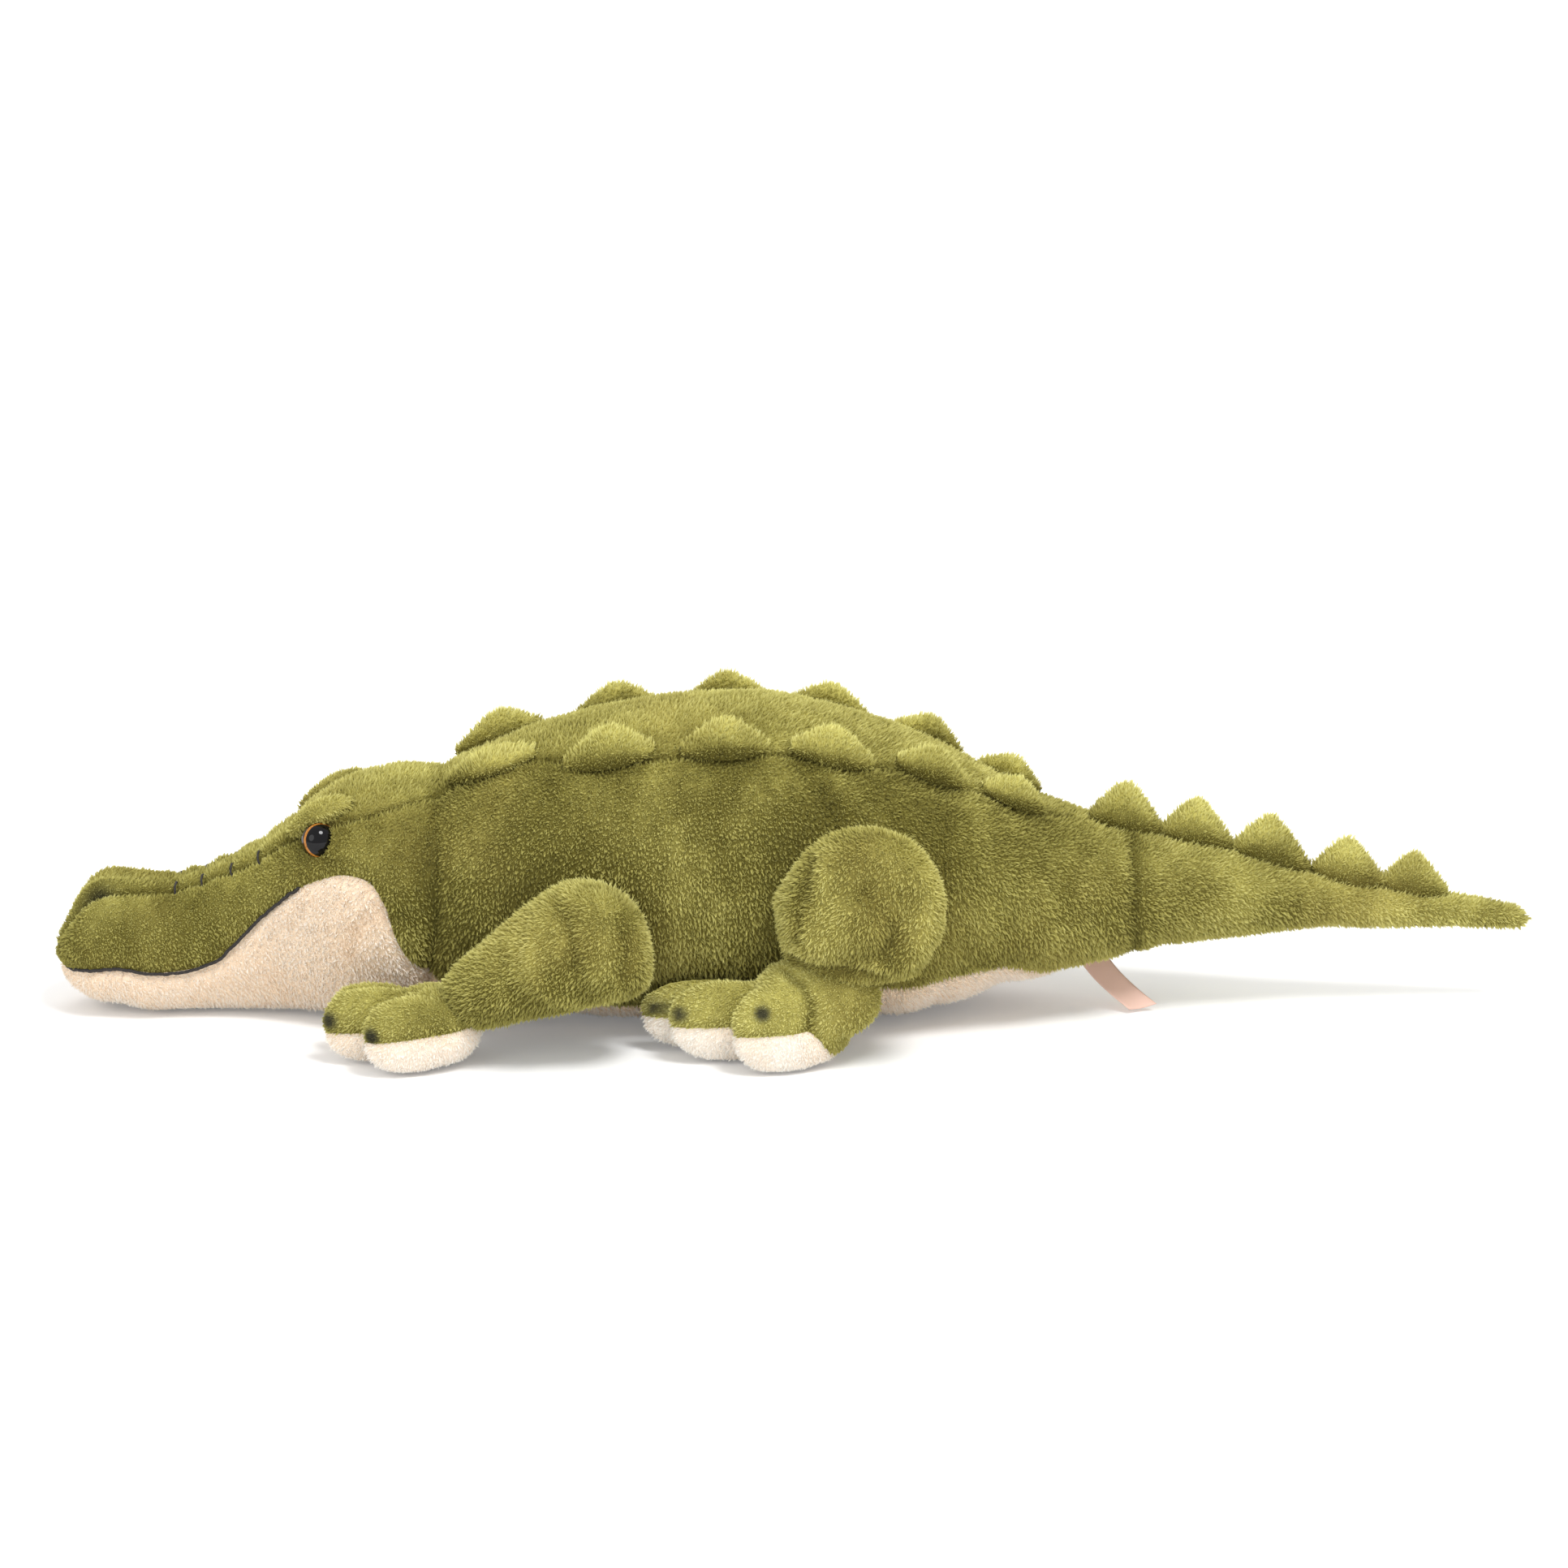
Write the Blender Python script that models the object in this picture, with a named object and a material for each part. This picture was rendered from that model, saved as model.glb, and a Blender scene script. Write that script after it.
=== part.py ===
"""Plush crocodile lying on its belly: nose towards -X, tail towards +X, up is +Z.

Each piece that would come apart on a bench is an object of its own: the sewn skin
panels, the fillings, the scutes and brows, the safety eyes with their locking washers,
the legs with their feet and soles, and the ribbon sewn under the root of the tail.
Lengths are metres, angles are degrees, and the left side of the animal is -Y.
"""
import math

import bmesh
import bpy
import numpy as np
from mathutils import Matrix, Vector

# Body, head and tail: lengths along X, widths across Y, heights over the floor
HEAD_LENGTH = 0.153
TORSO_LENGTH = 0.285
TAIL_LENGTH = 0.164
NECK_WIDTH = 0.108
NECK_HEIGHT = 0.102
TORSO_WIDTH = 0.136
TORSO_HEIGHT = 0.1315
TAIL_ROOT_WIDTH = 0.0636
TAIL_ROOT_TOP = 0.0772
TAIL_ROOT_BOTTOM = 0.0242
NOSE_ROUND = 0.021
TAIL_TIP_ROUND = 0.008

# Skin, seams and seats
PLUSH_THICKNESS = 0.003
SEAM_GAP = 0.0004
FILLING_GAP = 0.0008
SEAT_GAP = 0.0006
FLAT_DEPTH = 0.0005
JOINT_GAP = 0.0005
CUT_OVERRUN = 0.004
SMALLEST_END = 0.0018

# Turning ends of the neck and of the tail root
NECK_TURN_MARGIN = 0.004
NECK_END_REACH = 0.0075
TAIL_TURN_MARGIN = 0.0025

# Scutes: base length, thickness and height of the largest, sewn into the back seams
BACK_SCUTE_LENGTH = 0.036
BACK_SCUTE_THICKNESS = 0.011
BACK_SCUTE_HEIGHT = 0.0155
TAIL_SCUTE_LENGTH = 0.0298
TAIL_SCUTE_THICKNESS = 0.010
TAIL_SCUTE_HEIGHT = 0.018

# Brows, eyes and the washers that lock the eyes inside the head
BROW_LENGTH = 0.026
BROW_THICKNESS = 0.013
BROW_HEIGHT = 0.0085
EYE_DIAMETER = 0.0145
EYE_DOME = 0.0062
EYE_SINK = 0.0008
EYE_SHANK_DIAMETER = 0.003
EYE_SHANK_LENGTH = 0.0095
EYE_CLEARANCE = 0.0003
WASHER_DIAMETER = 0.0115
WASHER_THICKNESS = 0.0015
WASHER_DEPTH = 0.0046

# Hind legs: a round thigh over a long foot
HIP_RADIUS = 0.0345
HIP_THICKNESS = 0.024
HIP_OFFSET = 0.078
HIP_HEIGHT = 0.0644
THIGH_OUTER = 0.023
HIND_ANKLE_WIDTH = 0.049
HIND_ANKLE_THICKNESS = 0.034
HIND_ANKLE_OFFSET = 0.079
HIND_ANKLE_DROP = 0.0255
HIND_ANKLE_REACH = 0.0145
HIND_FOOT_LENGTH = 0.096
HIND_FOOT_WIDTH = 0.043
HIND_FOOT_HEIGHT = 0.036
HIND_FOOT_OFFSET = 0.0765
HIND_FOOT_REACH = 0.041

# Front legs: a forearm that reaches forward and down from a round shoulder
SHOULDER_RADIUS = 0.0275
SHOULDER_THICKNESS = 0.022
SHOULDER_OFFSET = 0.078
SHOULDER_HEIGHT = 0.0505
SHOULDER_OUTER = 0.021
FRONT_ANKLE_WIDTH = 0.034
FRONT_ANKLE_THICKNESS = 0.033
FRONT_ANKLE_OFFSET = 0.0800
FRONT_ANKLE_DROP = 0.0235
FRONT_ANKLE_REACH = 0.047
FRONT_FOOT_LENGTH = 0.070
FRONT_FOOT_WIDTH = 0.044
FRONT_FOOT_HEIGHT = 0.033
FRONT_FOOT_OFFSET = 0.0785
FRONT_FOOT_REACH = 0.0745

# Feet and their seats on the body
LEG_SEAT_GAP = 0.0009
SIDE_CLEARANCE = 0.0007
LEG_DEPTH = 0.034
FOOT_ROOM = 0.0035
ANKLE_GAP = 0.0003
SOLE_HEIGHT = 0.0155

# Ribbon sewn into the seam under the tail
RIBBON_WIDTH = 0.012
RIBBON_LENGTH = 0.028
RIBBON_THICKNESS = 0.0006

# Mesh counts
BACK_CELLS = 4
SIDE_CELLS = 5
BELLY_CELLS = 4
HEAD_STATIONS = 8
CHEEK_STATIONS = 6
TORSO_STATIONS = 16
TAIL_STATIONS = 8
ARC_STEPS = 18
BALL_RINGS = 8
BALL_STEPS = 16
LEG_COLUMNS = 14
LEG_DOME_RINGS = 2
LEG_STATIONS = 4
FOOT_COLUMNS = 28
FOOT_RINGS = 3
SCUTE_RINGS = 7
SCUTE_ARC = 5
TURNED_STEPS = 16

# Sections from nose to neck: place along the head, then the width, the top and the
# bottom as shares of the neck's width and height
HEAD_SECTION_SHARES = (
    (0.000, 0.470, 0.520, 0.030),
    (0.137, 0.485, 0.545, 0.030),
    (0.255, 0.515, 0.530, 0.000),
    (0.366, 0.504, 0.562, 0.000),
    (0.477, 0.513, 0.632, 0.000),
    (0.582, 0.574, 0.730, 0.000),
    (0.673, 0.681, 0.848, 0.000),
    (0.778, 0.819, 0.936, 0.000),
    (0.889, 0.926, 0.978, 0.000),
    (1.000, 1.000, 1.000, 0.000),
)
# Sections from neck to tail root, as shares of the torso's width and height
TORSO_SECTION_SHARES = (
    (0.063, 0.850, 0.825, 0.000),
    (0.151, 0.919, 0.896, 0.000),
    (0.274, 0.982, 0.960, 0.000),
    (0.396, 1.000, 0.998, 0.000),
    (0.467, 1.000, 1.000, 0.000),
    (0.554, 0.988, 0.962, 0.000),
    (0.660, 0.934, 0.890, 0.000),
    (0.730, 0.871, 0.825, 0.034),
    (0.800, 0.787, 0.748, 0.084),
    (0.870, 0.681, 0.674, 0.120),
    (0.940, 0.562, 0.620, 0.154),
)
# Sections from tail root to tip, as shares of the root's width and top
TAIL_SECTION_SHARES = (
    (0.171, 0.761, 0.913, 0.368),
    (0.354, 0.582, 0.810, 0.403),
    (0.537, 0.440, 0.714, 0.431),
    (0.720, 0.324, 0.648, 0.435),
    (0.902, 0.245, 0.585, 0.421),
    (1.000, 0.210, 0.545, 0.410),
)
# Where a section is widest, as a share of its height, and how square it is
WIDEST_SHARE = 0.47
SQUARENESS_SHARES = (
    (0.00, 2.5),
    (0.18, 2.6),
    (0.27, 2.2),
    (1.00, 2.2),
)
# Seam along the scutes: place along the whole length, share of a half turn from the top
ROW_SEAM_SHARES = (
    (0.000, 0.170),
    (0.040, 0.158),
    (0.090, 0.110),
    (0.140, 0.150),
    (0.200, 0.215),
    (0.250, 0.152),
    (0.300, 0.125),
    (0.375, 0.215),
    (0.458, 0.228),
    (0.530, 0.208),
    (0.593, 0.178),
    (0.648, 0.140),
    (0.675, 0.075),
    (0.690, 0.040),
    (0.705, 0.012),
    (0.750, 0.012),
    (1.000, 0.012),
)
# Mouth line, cheek and belly seam, measured the same way
LOW_SEAM_SHARES = (
    (0.000, 0.560),
    (0.077, 0.550),
    (0.102, 0.530),
    (0.120, 0.495),
    (0.145, 0.412),
    (0.176, 0.368),
    (0.202, 0.368),
    (0.222, 0.400),
    (0.240, 0.560),
    (0.256, 0.650),
    (0.300, 0.735),
    (0.400, 0.790),
    (0.500, 0.740),
    (0.554, 0.700),
    (0.622, 0.700),
    (0.660, 0.770),
    (0.685, 0.890),
    (0.700, 0.965),
    (0.715, 0.988),
    (0.750, 0.988),
    (1.000, 0.988),
)
NARROW_TURN_SHARE = 0.004
CHEEK_START_SHARE = 0.190
TORSO_START_SHARE = 0.333
NOSE_CLOSING_SHARES = (0.45, 0.78)
TIP_CLOSING_SHARES = (0.75,)
BACK_END_SHARE = 0.690
BELLY_END_SHARE = 0.700

# Scute centres along the whole length, with each one's size as a share of the largest
BACK_SCUTE_SHARES = (
    (0.297, 0.95),
    (0.376, 1.00),
    (0.452, 0.98),
    (0.523, 0.93),
    (0.591, 0.84),
    (0.651, 0.76),
)
TAIL_SCUTE_SHARES = (
    (0.724, 0.90),
    (0.772, 1.00),
    (0.822, 1.00),
    (0.875, 0.92),
    (0.920, 0.84),
)
FLATTENED_SCUTE_SHARE = 0.42
SCUTE_PROFILE_SHARE = 1.25
BROW_PROFILE_SHARE = 2.4

# Brow and eye: place along the whole length, and turn from the top
BROW_SHARES = (0.184, 0.150)
EYE_SHARES = (0.181, 0.262)
BROW_LEAN_SHARE = 0.275
EYE_DOME_SHARES = (0.0, 0.28, 0.56, 0.80)

# Hips and shoulders along the whole length
HIP_SHARE = 0.544
SHOULDER_SHARE = 0.362

# Toes: direction as a share of a half turn outward from straight ahead, then the reach
TOE_NOTCH_SHARES = (-0.060, 0.165)
TOE_NOTCH_WIDTH_SHARE = 0.050
TOE_NOTCH_DEPTH_SHARE = 0.16
TOE_GROOVE_SHARE = 0.30
FOOT_WIDEST_SHARE = 0.40
FOOT_RISE_SHARE = 0.16
FOOT_SQUARENESS_SHARE = 2.5

# Route of the ribbon from its seam: along, across and down, as shares of its length
RIBBON_ROOT_SHARE = 0.703
RIBBON_ROUTE_SHARES = (
    (0.00, 0.00, 0.00),
    (0.20, -0.14, 0.22),
    (0.44, -0.30, 0.42),
    (0.70, -0.44, 0.61),
)
RIBBON_WIDE_SHARES = (1.0, 0.3, 0.12)

# Colour, roughness and metallic value of each finish
GREEN_PLUSH = ((0.27, 0.24, 0.075), 0.95, 0.0)
CREAM_PLUSH = ((0.80, 0.65, 0.48), 0.95, 0.0)
WHITE_FILLING = ((0.85, 0.85, 0.83), 1.0, 0.0)
BLACK_PLASTIC = ((0.012, 0.009, 0.010), 0.08, 0.0)
WHITE_PLASTIC = ((0.75, 0.75, 0.72), 0.45, 0.0)
PALE_RIBBON = ((0.80, 0.62, 0.56), 0.6, 0.0)

# Places that follow from the sizes above
WHOLE_LENGTH = HEAD_LENGTH + TORSO_LENGTH + TAIL_LENGTH
NOSE_X = -WHOLE_LENGTH / 2
NECK_X = NOSE_X + HEAD_LENGTH
ROOT_X = NECK_X + TORSO_LENGTH
TIP_X = ROOT_X + TAIL_LENGTH
NECK_RADIUS = NECK_WIDTH / 2 + NECK_TURN_MARGIN
NECK_PIVOT_X = NECK_X + NECK_END_REACH - NECK_RADIUS
TORSO_START_X = NECK_PIVOT_X + NECK_RADIUS * TORSO_START_SHARE
TAIL_RADIUS = TAIL_ROOT_WIDTH / 2 + TAIL_TURN_MARGIN
TAIL_PIVOT_X = ROOT_X + math.sqrt(TAIL_RADIUS ** 2 - (TAIL_ROOT_WIDTH / 2) ** 2)
TOP_LIMIT = 2 * TORSO_HEIGHT


def place(share):
    """X of a share of the whole length, counted from the nose."""
    return NOSE_X + share * WHOLE_LENGTH


class Curve:
    """A smooth curve through hand-set rows of place and value."""

    def __init__(self, rows):
        self.places = np.array([row[0] for row in rows], float)
        self.values = np.array([row[1] for row in rows], float)
        steps = np.diff(self.places)
        rises = np.diff(self.values) / steps
        slopes = np.gradient(self.values, self.places)
        for i in range(1, len(rises)):
            if rises[i - 1] * rises[i] <= 0:
                slopes[i] = 0
        self.slopes = slopes

    def __call__(self, x):
        last = len(self.places) - 2
        i = min(max(int(np.searchsorted(self.places, x)) - 1, 0), last)
        step = self.places[i + 1] - self.places[i]
        t = min(max((x - self.places[i]) / step, 0), 1)
        start = (2 * t ** 3 - 3 * t ** 2 + 1) * self.values[i]
        start += (t ** 3 - 2 * t ** 2 + t) * step * self.slopes[i]
        end = (3 * t ** 2 - 2 * t ** 3) * self.values[i + 1]
        end += (t ** 3 - t ** 2) * step * self.slopes[i + 1]
        return float(start + end)


def body_rows():
    """X, half width, top and bottom of every section from nose to tail tip."""
    rows = []
    for along, width, top, bottom in HEAD_SECTION_SHARES:
        x = NOSE_X + along * HEAD_LENGTH
        rows.append((x, width * NECK_WIDTH / 2, top * NECK_HEIGHT, bottom * NECK_HEIGHT - FLAT_DEPTH))
    for along, width, top, bottom in TORSO_SECTION_SHARES:
        x = NECK_X + along * TORSO_LENGTH
        rows.append((x, width * TORSO_WIDTH / 2, top * TORSO_HEIGHT, bottom * TORSO_HEIGHT - FLAT_DEPTH))
    rows.append((ROOT_X, TAIL_ROOT_WIDTH / 2, TAIL_ROOT_TOP, TAIL_ROOT_BOTTOM))
    for along, width, top, bottom in TAIL_SECTION_SHARES:
        x = ROOT_X + along * TAIL_LENGTH
        rows.append((x, width * TAIL_ROOT_WIDTH / 2, top * TAIL_ROOT_TOP, bottom * TAIL_ROOT_TOP))
    return rows


class BodyForm:
    """The stuffed outer form from nose to tail tip, as sections across X."""

    def __init__(self):
        rows = body_rows()
        self.width = Curve([(x, w) for x, w, t, b in rows])
        self.top = Curve([(x, t) for x, w, t, b in rows])
        self.bottom = Curve([(x, b) for x, w, t, b in rows])
        self.squareness = Curve([(place(s), n) for s, n in SQUARENESS_SHARES])

    def rounding(self, x):
        """How far the nose and the tail tip have closed in at x, from 1 to 0."""
        share = 1
        for distance, length in ((x - NOSE_X, NOSE_ROUND), (TIP_X - x, TAIL_TIP_ROUND)):
            left = 1 - min(max(distance / length, 0), 1)
            share *= math.sqrt(1 - left ** 2)
        return share

    def point(self, x, turn):
        """A point of the surface; turn is radians from the top towards -Y."""
        close = self.rounding(x)
        top = self.top(x)
        bottom = self.bottom(x)
        middle = bottom + WIDEST_SHARE * (top - bottom)
        power = 2 / self.squareness(x)
        side = math.sin(turn)
        up = math.cos(turn)
        reach = top - middle if up > 0 else middle - bottom
        y = -self.width(x) * close * math.copysign(abs(side) ** power, side)
        z = middle + reach * close * math.copysign(abs(up) ** power, up)
        return Vector((x, y, z))

    def normal(self, x, turn):
        """The outward direction at a point, from its neighbours on the surface."""
        probe = SEAM_GAP
        turn_probe = probe / TORSO_WIDTH
        low = max(x - probe, NOSE_X + probe / 2)
        high = min(x + probe, TIP_X - probe / 2)
        along = self.point(high, turn) - self.point(low, turn)
        around = self.point(x, turn + turn_probe) - self.point(x, turn - turn_probe)
        return along.cross(around).normalized() * -1

    def inset(self, x, turn, depth):
        """A point at a depth under the surface."""
        return self.point(x, turn) - self.normal(x, turn) * depth


FORM = BodyForm()
ROW_SEAM = Curve([(place(s), v * math.pi) for s, v in ROW_SEAM_SHARES])
LOW_SEAM = Curve([(place(s), v * math.pi) for s, v in LOW_SEAM_SHARES])


def finish(name, mesh, finish_values):
    """Make a mesh an object with its own material."""
    piece = bpy.data.objects.new(name, mesh)
    bpy.context.scene.collection.objects.link(piece)
    colour, roughness, metallic = finish_values
    material = bpy.data.materials.new(name + "_finish")
    material.use_nodes = True
    shader = material.node_tree.nodes["Principled BSDF"]
    shader.inputs["Base Color"].default_value = (*colour, 1)
    shader.inputs["Roughness"].default_value = roughness
    shader.inputs["Metallic"].default_value = metallic
    mesh.materials.append(material)
    mesh.shade_smooth()
    mesh.set_sharp_from_angle(angle=math.radians(50))
    return piece


def hang(name, pivot, pieces):
    """Put the pieces of a moving part under an empty on its joint's axis."""
    joint = bpy.data.objects.new(name, None)
    bpy.context.scene.collection.objects.link(joint)
    joint.location = pivot
    joint.empty_display_size = PLUSH_THICKNESS
    for piece in pieces:
        piece.data.transform(Matrix.Translation(-Vector(pivot)))
        piece.parent = joint


def guide(name, mesh):
    """Make a mesh a hidden cutter."""
    cutter = bpy.data.objects.new(name, mesh)
    bpy.context.scene.collection.objects.link(cutter)
    cutter.hide_render = True
    cutter.display_type = "WIRE"
    return cutter


def close_mesh(name, shape):
    """Finish a bmesh: merge doubles, point the faces out and give a mesh."""
    bmesh.ops.remove_doubles(shape, verts=shape.verts, dist=SEAM_GAP / 10)
    bmesh.ops.recalc_face_normals(shape, faces=shape.faces)
    mesh = bpy.data.meshes.new(name)
    shape.to_mesh(mesh)
    shape.free()
    return mesh


def add_boolean(piece, cutter, operation):
    """Cut a piece with a hidden solid, or keep what they share, or join them."""
    modifier = piece.modifiers.new(operation.lower() + "_" + cutter.name, "BOOLEAN")
    modifier.operation = operation
    modifier.object = cutter
    modifier.solver = "EXACT"


def add_cell(shape, a, b, c, d, flip):
    """Two triangles over the corners of one cell, split along a chosen diagonal."""
    if flip:
        shape.faces.new((a, b, d))
        shape.faces.new((b, c, d))
    else:
        shape.faces.new((a, b, c))
        shape.faces.new((a, c, d))


def splits(turns):
    """Diagonals that run away from the top line, so nested surfaces fold alike."""
    return [math.sin((first + last) / 2) < 0 for first, last in zip(turns, turns[1:])]


def loft_mesh(name, rings, start=None, end=None, flips=None):
    """A closed solid through rings of equal count, with a point or a flat cap at each end."""
    shape = bmesh.new()
    loops = [[shape.verts.new(p) for p in ring] for ring in rings]
    count = len(rings[0])
    for low, high in zip(loops, loops[1:]):
        for i in range(count):
            j = (i + 1) % count
            add_cell(shape, low[i], low[j], high[j], high[i], flips[i] if flips else False)
    for loop, pole in ((loops[0], start), (loops[-1], end)):
        if pole is None:
            shape.faces.new(loop)
        else:
            tip = shape.verts.new(pole)
            for i in range(count):
                shape.faces.new((loop[i], loop[(i + 1) % count], tip))
    return close_mesh(name, shape)


def sheet_mesh(name, outer, inner, flips=None):
    """A closed thick sheet between two grids of points."""
    shape = bmesh.new()
    grids = [[[shape.verts.new(p) for p in row] for row in grid] for grid in (outer, inner)]
    rows = len(outer)
    columns = len(outer[0])
    for grid in grids:
        for i in range(rows - 1):
            for j in range(columns - 1):
                flip = flips[j] if flips else False
                add_cell(shape, grid[i][j], grid[i][j + 1], grid[i + 1][j + 1], grid[i + 1][j], flip)
    rim = [(0, j) for j in range(columns)]
    rim += [(i, columns - 1) for i in range(1, rows)]
    rim += [(rows - 1, j) for j in range(columns - 2, -1, -1)]
    rim += [(i, 0) for i in range(rows - 2, 0, -1)]
    for (i, j), (k, m) in zip(rim, rim[1:] + rim[:1]):
        back = k < i or m < j
        add_cell(shape, grids[0][i][j], grids[0][k][m], grids[1][k][m], grids[1][i][j], back)
    return close_mesh(name, shape)


def turned_mesh(name, profile, origin, direction):
    """A profile of radius and height turned round a direction."""
    turn = Vector((0, 0, 1)).rotation_difference(direction).to_matrix().to_4x4()
    where = Matrix.Translation(origin) @ turn
    rings = []
    for radius, height in profile:
        ring = []
        for i in range(TURNED_STEPS):
            angle = 2 * math.pi * i / TURNED_STEPS
            ring.append(where @ Vector((radius * math.cos(angle), radius * math.sin(angle), height)))
        rings.append(ring)
    return loft_mesh(name, rings)


def prism_mesh(name, outline):
    """An upright prism over an outline in plan, taller than the part."""
    rings = []
    for z in (-CUT_OVERRUN - NECK_HEIGHT, TOP_LIMIT):
        rings.append([Vector((x, y, z)) for x, y in outline])
    return loft_mesh(name, rings)


def ball_mesh(name, centre, radius, thickness):
    """A ball of revolution about Y: radius in X and Z, half thickness in Y."""
    rings = []
    for i in range(1, BALL_RINGS):
        tilt = math.pi * i / BALL_RINGS
        ring = []
        for j in range(BALL_STEPS):
            angle = 2 * math.pi * j / BALL_STEPS
            reach = radius * math.sin(tilt)
            offset = Vector((reach * math.cos(angle), -thickness * math.cos(tilt), reach * math.sin(angle)))
            ring.append(centre + offset)
        rings.append(ring)
    tips = [centre + Vector((0, side * thickness, 0)) for side in (-1, 1)]
    return loft_mesh(name, rings, tips[0], tips[1])


def stations(start, end, count):
    """Evenly set places between two ends."""
    return [start + (end - start) * i / (count - 1) for i in range(count)]


def nose_stations(end):
    """Places from the nose back: an arc over the rounded nose, then steps that close up at the cheek."""
    shares = (SMALLEST_END / FORM.width(NOSE_X),) + NOSE_CLOSING_SHARES
    closing = [NOSE_X + NOSE_ROUND * (1 - math.sqrt(1 - s ** 2)) for s in shares]
    cheek = place(CHEEK_START_SHARE)
    snout = stations(NOSE_X + NOSE_ROUND, cheek, HEAD_STATIONS)
    return closing + snout + stations(cheek, end, CHEEK_STATIONS)[1:]


def tip_stations(start):
    """Places back to the tail tip, with an arc over the rounded tip."""
    shares = TIP_CLOSING_SHARES + (SMALLEST_END / FORM.width(TIP_X),)
    closing = [TIP_X - TAIL_TIP_ROUND * (1 - math.sqrt(1 - s ** 2)) for s in shares]
    return stations(start, TIP_X - TAIL_TIP_ROUND, TAIL_STATIONS) + closing


def girth(x):
    """Mean radius of the section at x."""
    height = FORM.top(x) - FORM.bottom(x)
    return FORM.rounding(x) * (FORM.width(x) + height / 2) / 2


def row_turn(x):
    return ROW_SEAM(x)


def low_turn(x):
    return LOW_SEAM(x)


def mirrored_row_turn(x):
    return -ROW_SEAM(x)


def mirrored_low_turn(x):
    return 2 * math.pi - LOW_SEAM(x)


def top_line(x):
    return 0


def under_line(x):
    return math.pi


def side_upper(x):
    """Upper edge of a side panel: the scute seam, or the top line past the back panel."""
    return ROW_SEAM(x) if x <= place(BACK_END_SHARE) else 0


def side_lower(x):
    """Lower edge of a side panel: the mouth and belly seam, or the line under the tail."""
    return LOW_SEAM(x) if x <= place(BELLY_END_SHARE) else math.pi


def seam_trim(edge, x):
    """Half the seam's gap as a turn, widened where the seam runs across the body."""
    radius = girth(x)
    slope = (edge(x + SEAM_GAP) - edge(x - SEAM_GAP)) / (2 * SEAM_GAP)
    return SEAM_GAP / 2 / radius * math.sqrt(1 + (radius * slope) ** 2)


def panel(name, places, upper, lower, cells, side, values):
    """A skin panel between two seams, whose side is 1 for the left and -1 for the right."""
    grids = []
    for depth in (0, PLUSH_THICKNESS):
        grid = []
        for x in places:
            first = upper(x) + seam_trim(upper, x)
            last = lower(x) - seam_trim(lower, x)
            turns = [first + (last - first) * j / cells for j in range(cells + 1)]
            grid.append([FORM.inset(x, side * t, depth) for t in turns])
        grids.append(grid)
    return finish(name, sheet_mesh(name, grids[0], grids[1], splits(turns)), values)


def ring_turns(x, upper, lower):
    """Turns of one filling ring, on the same columns as the panels over it."""
    row = max(upper(x), NARROW_TURN_SHARE * math.pi)
    low = min(lower(x), (1 - NARROW_TURN_SHARE) * math.pi)
    corners = (-row, row, low, 2 * math.pi - low, 2 * math.pi - row)
    turns = []
    for first, last, cells in zip(corners, corners[1:], (BACK_CELLS, SIDE_CELLS, BELLY_CELLS, SIDE_CELLS)):
        turns += [first + (last - first) * j / cells for j in range(cells)]
    return turns


def filling(name, places, upper, lower):
    """The stuffing inside the skin panels, between two places."""
    depth = PLUSH_THICKNESS + FILLING_GAP
    rings = [[FORM.inset(x, t, depth) for t in ring_turns(x, upper, lower)] for x in places]
    turns = ring_turns(places[-1], upper, lower)
    flips = splits(turns + [turns[0] + 2 * math.pi])
    return finish(name, loft_mesh(name, rings, flips=flips), WHITE_FILLING)


def turning_outline(pivot_x, radius, outward):
    """Plan of the turning end of the head or tail: an arc, and all that lies beyond it."""
    far = WHOLE_LENGTH * outward
    wide = TORSO_WIDTH
    outline = [(pivot_x + far, -wide), (pivot_x + far, wide), (pivot_x, wide)]
    for i in range(ARC_STEPS + 1):
        angle = math.pi / 2 - math.pi * i / ARC_STEPS
        outline.append((pivot_x - outward * radius * math.cos(angle), radius * math.sin(angle)))
    outline.append((pivot_x, -wide))
    return outline


def round_outline(pivot_x, radius):
    steps = 2 * ARC_STEPS
    angles = [2 * math.pi * i / steps for i in range(steps)]
    return [(pivot_x + radius * math.cos(a), radius * math.sin(a)) for a in angles]


def body_room_mesh(name, room):
    """The torso and head grown by the room that a foot keeps as its leg turns."""
    places = stations(NOSE_X + NOSE_ROUND, ROOT_X, HEAD_STATIONS + TORSO_STATIONS)
    rings = [[FORM.inset(x, t, -room) for t in ring_turns(x, row_turn, low_turn)] for x in places]
    return loft_mesh(name, rings)


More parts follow.
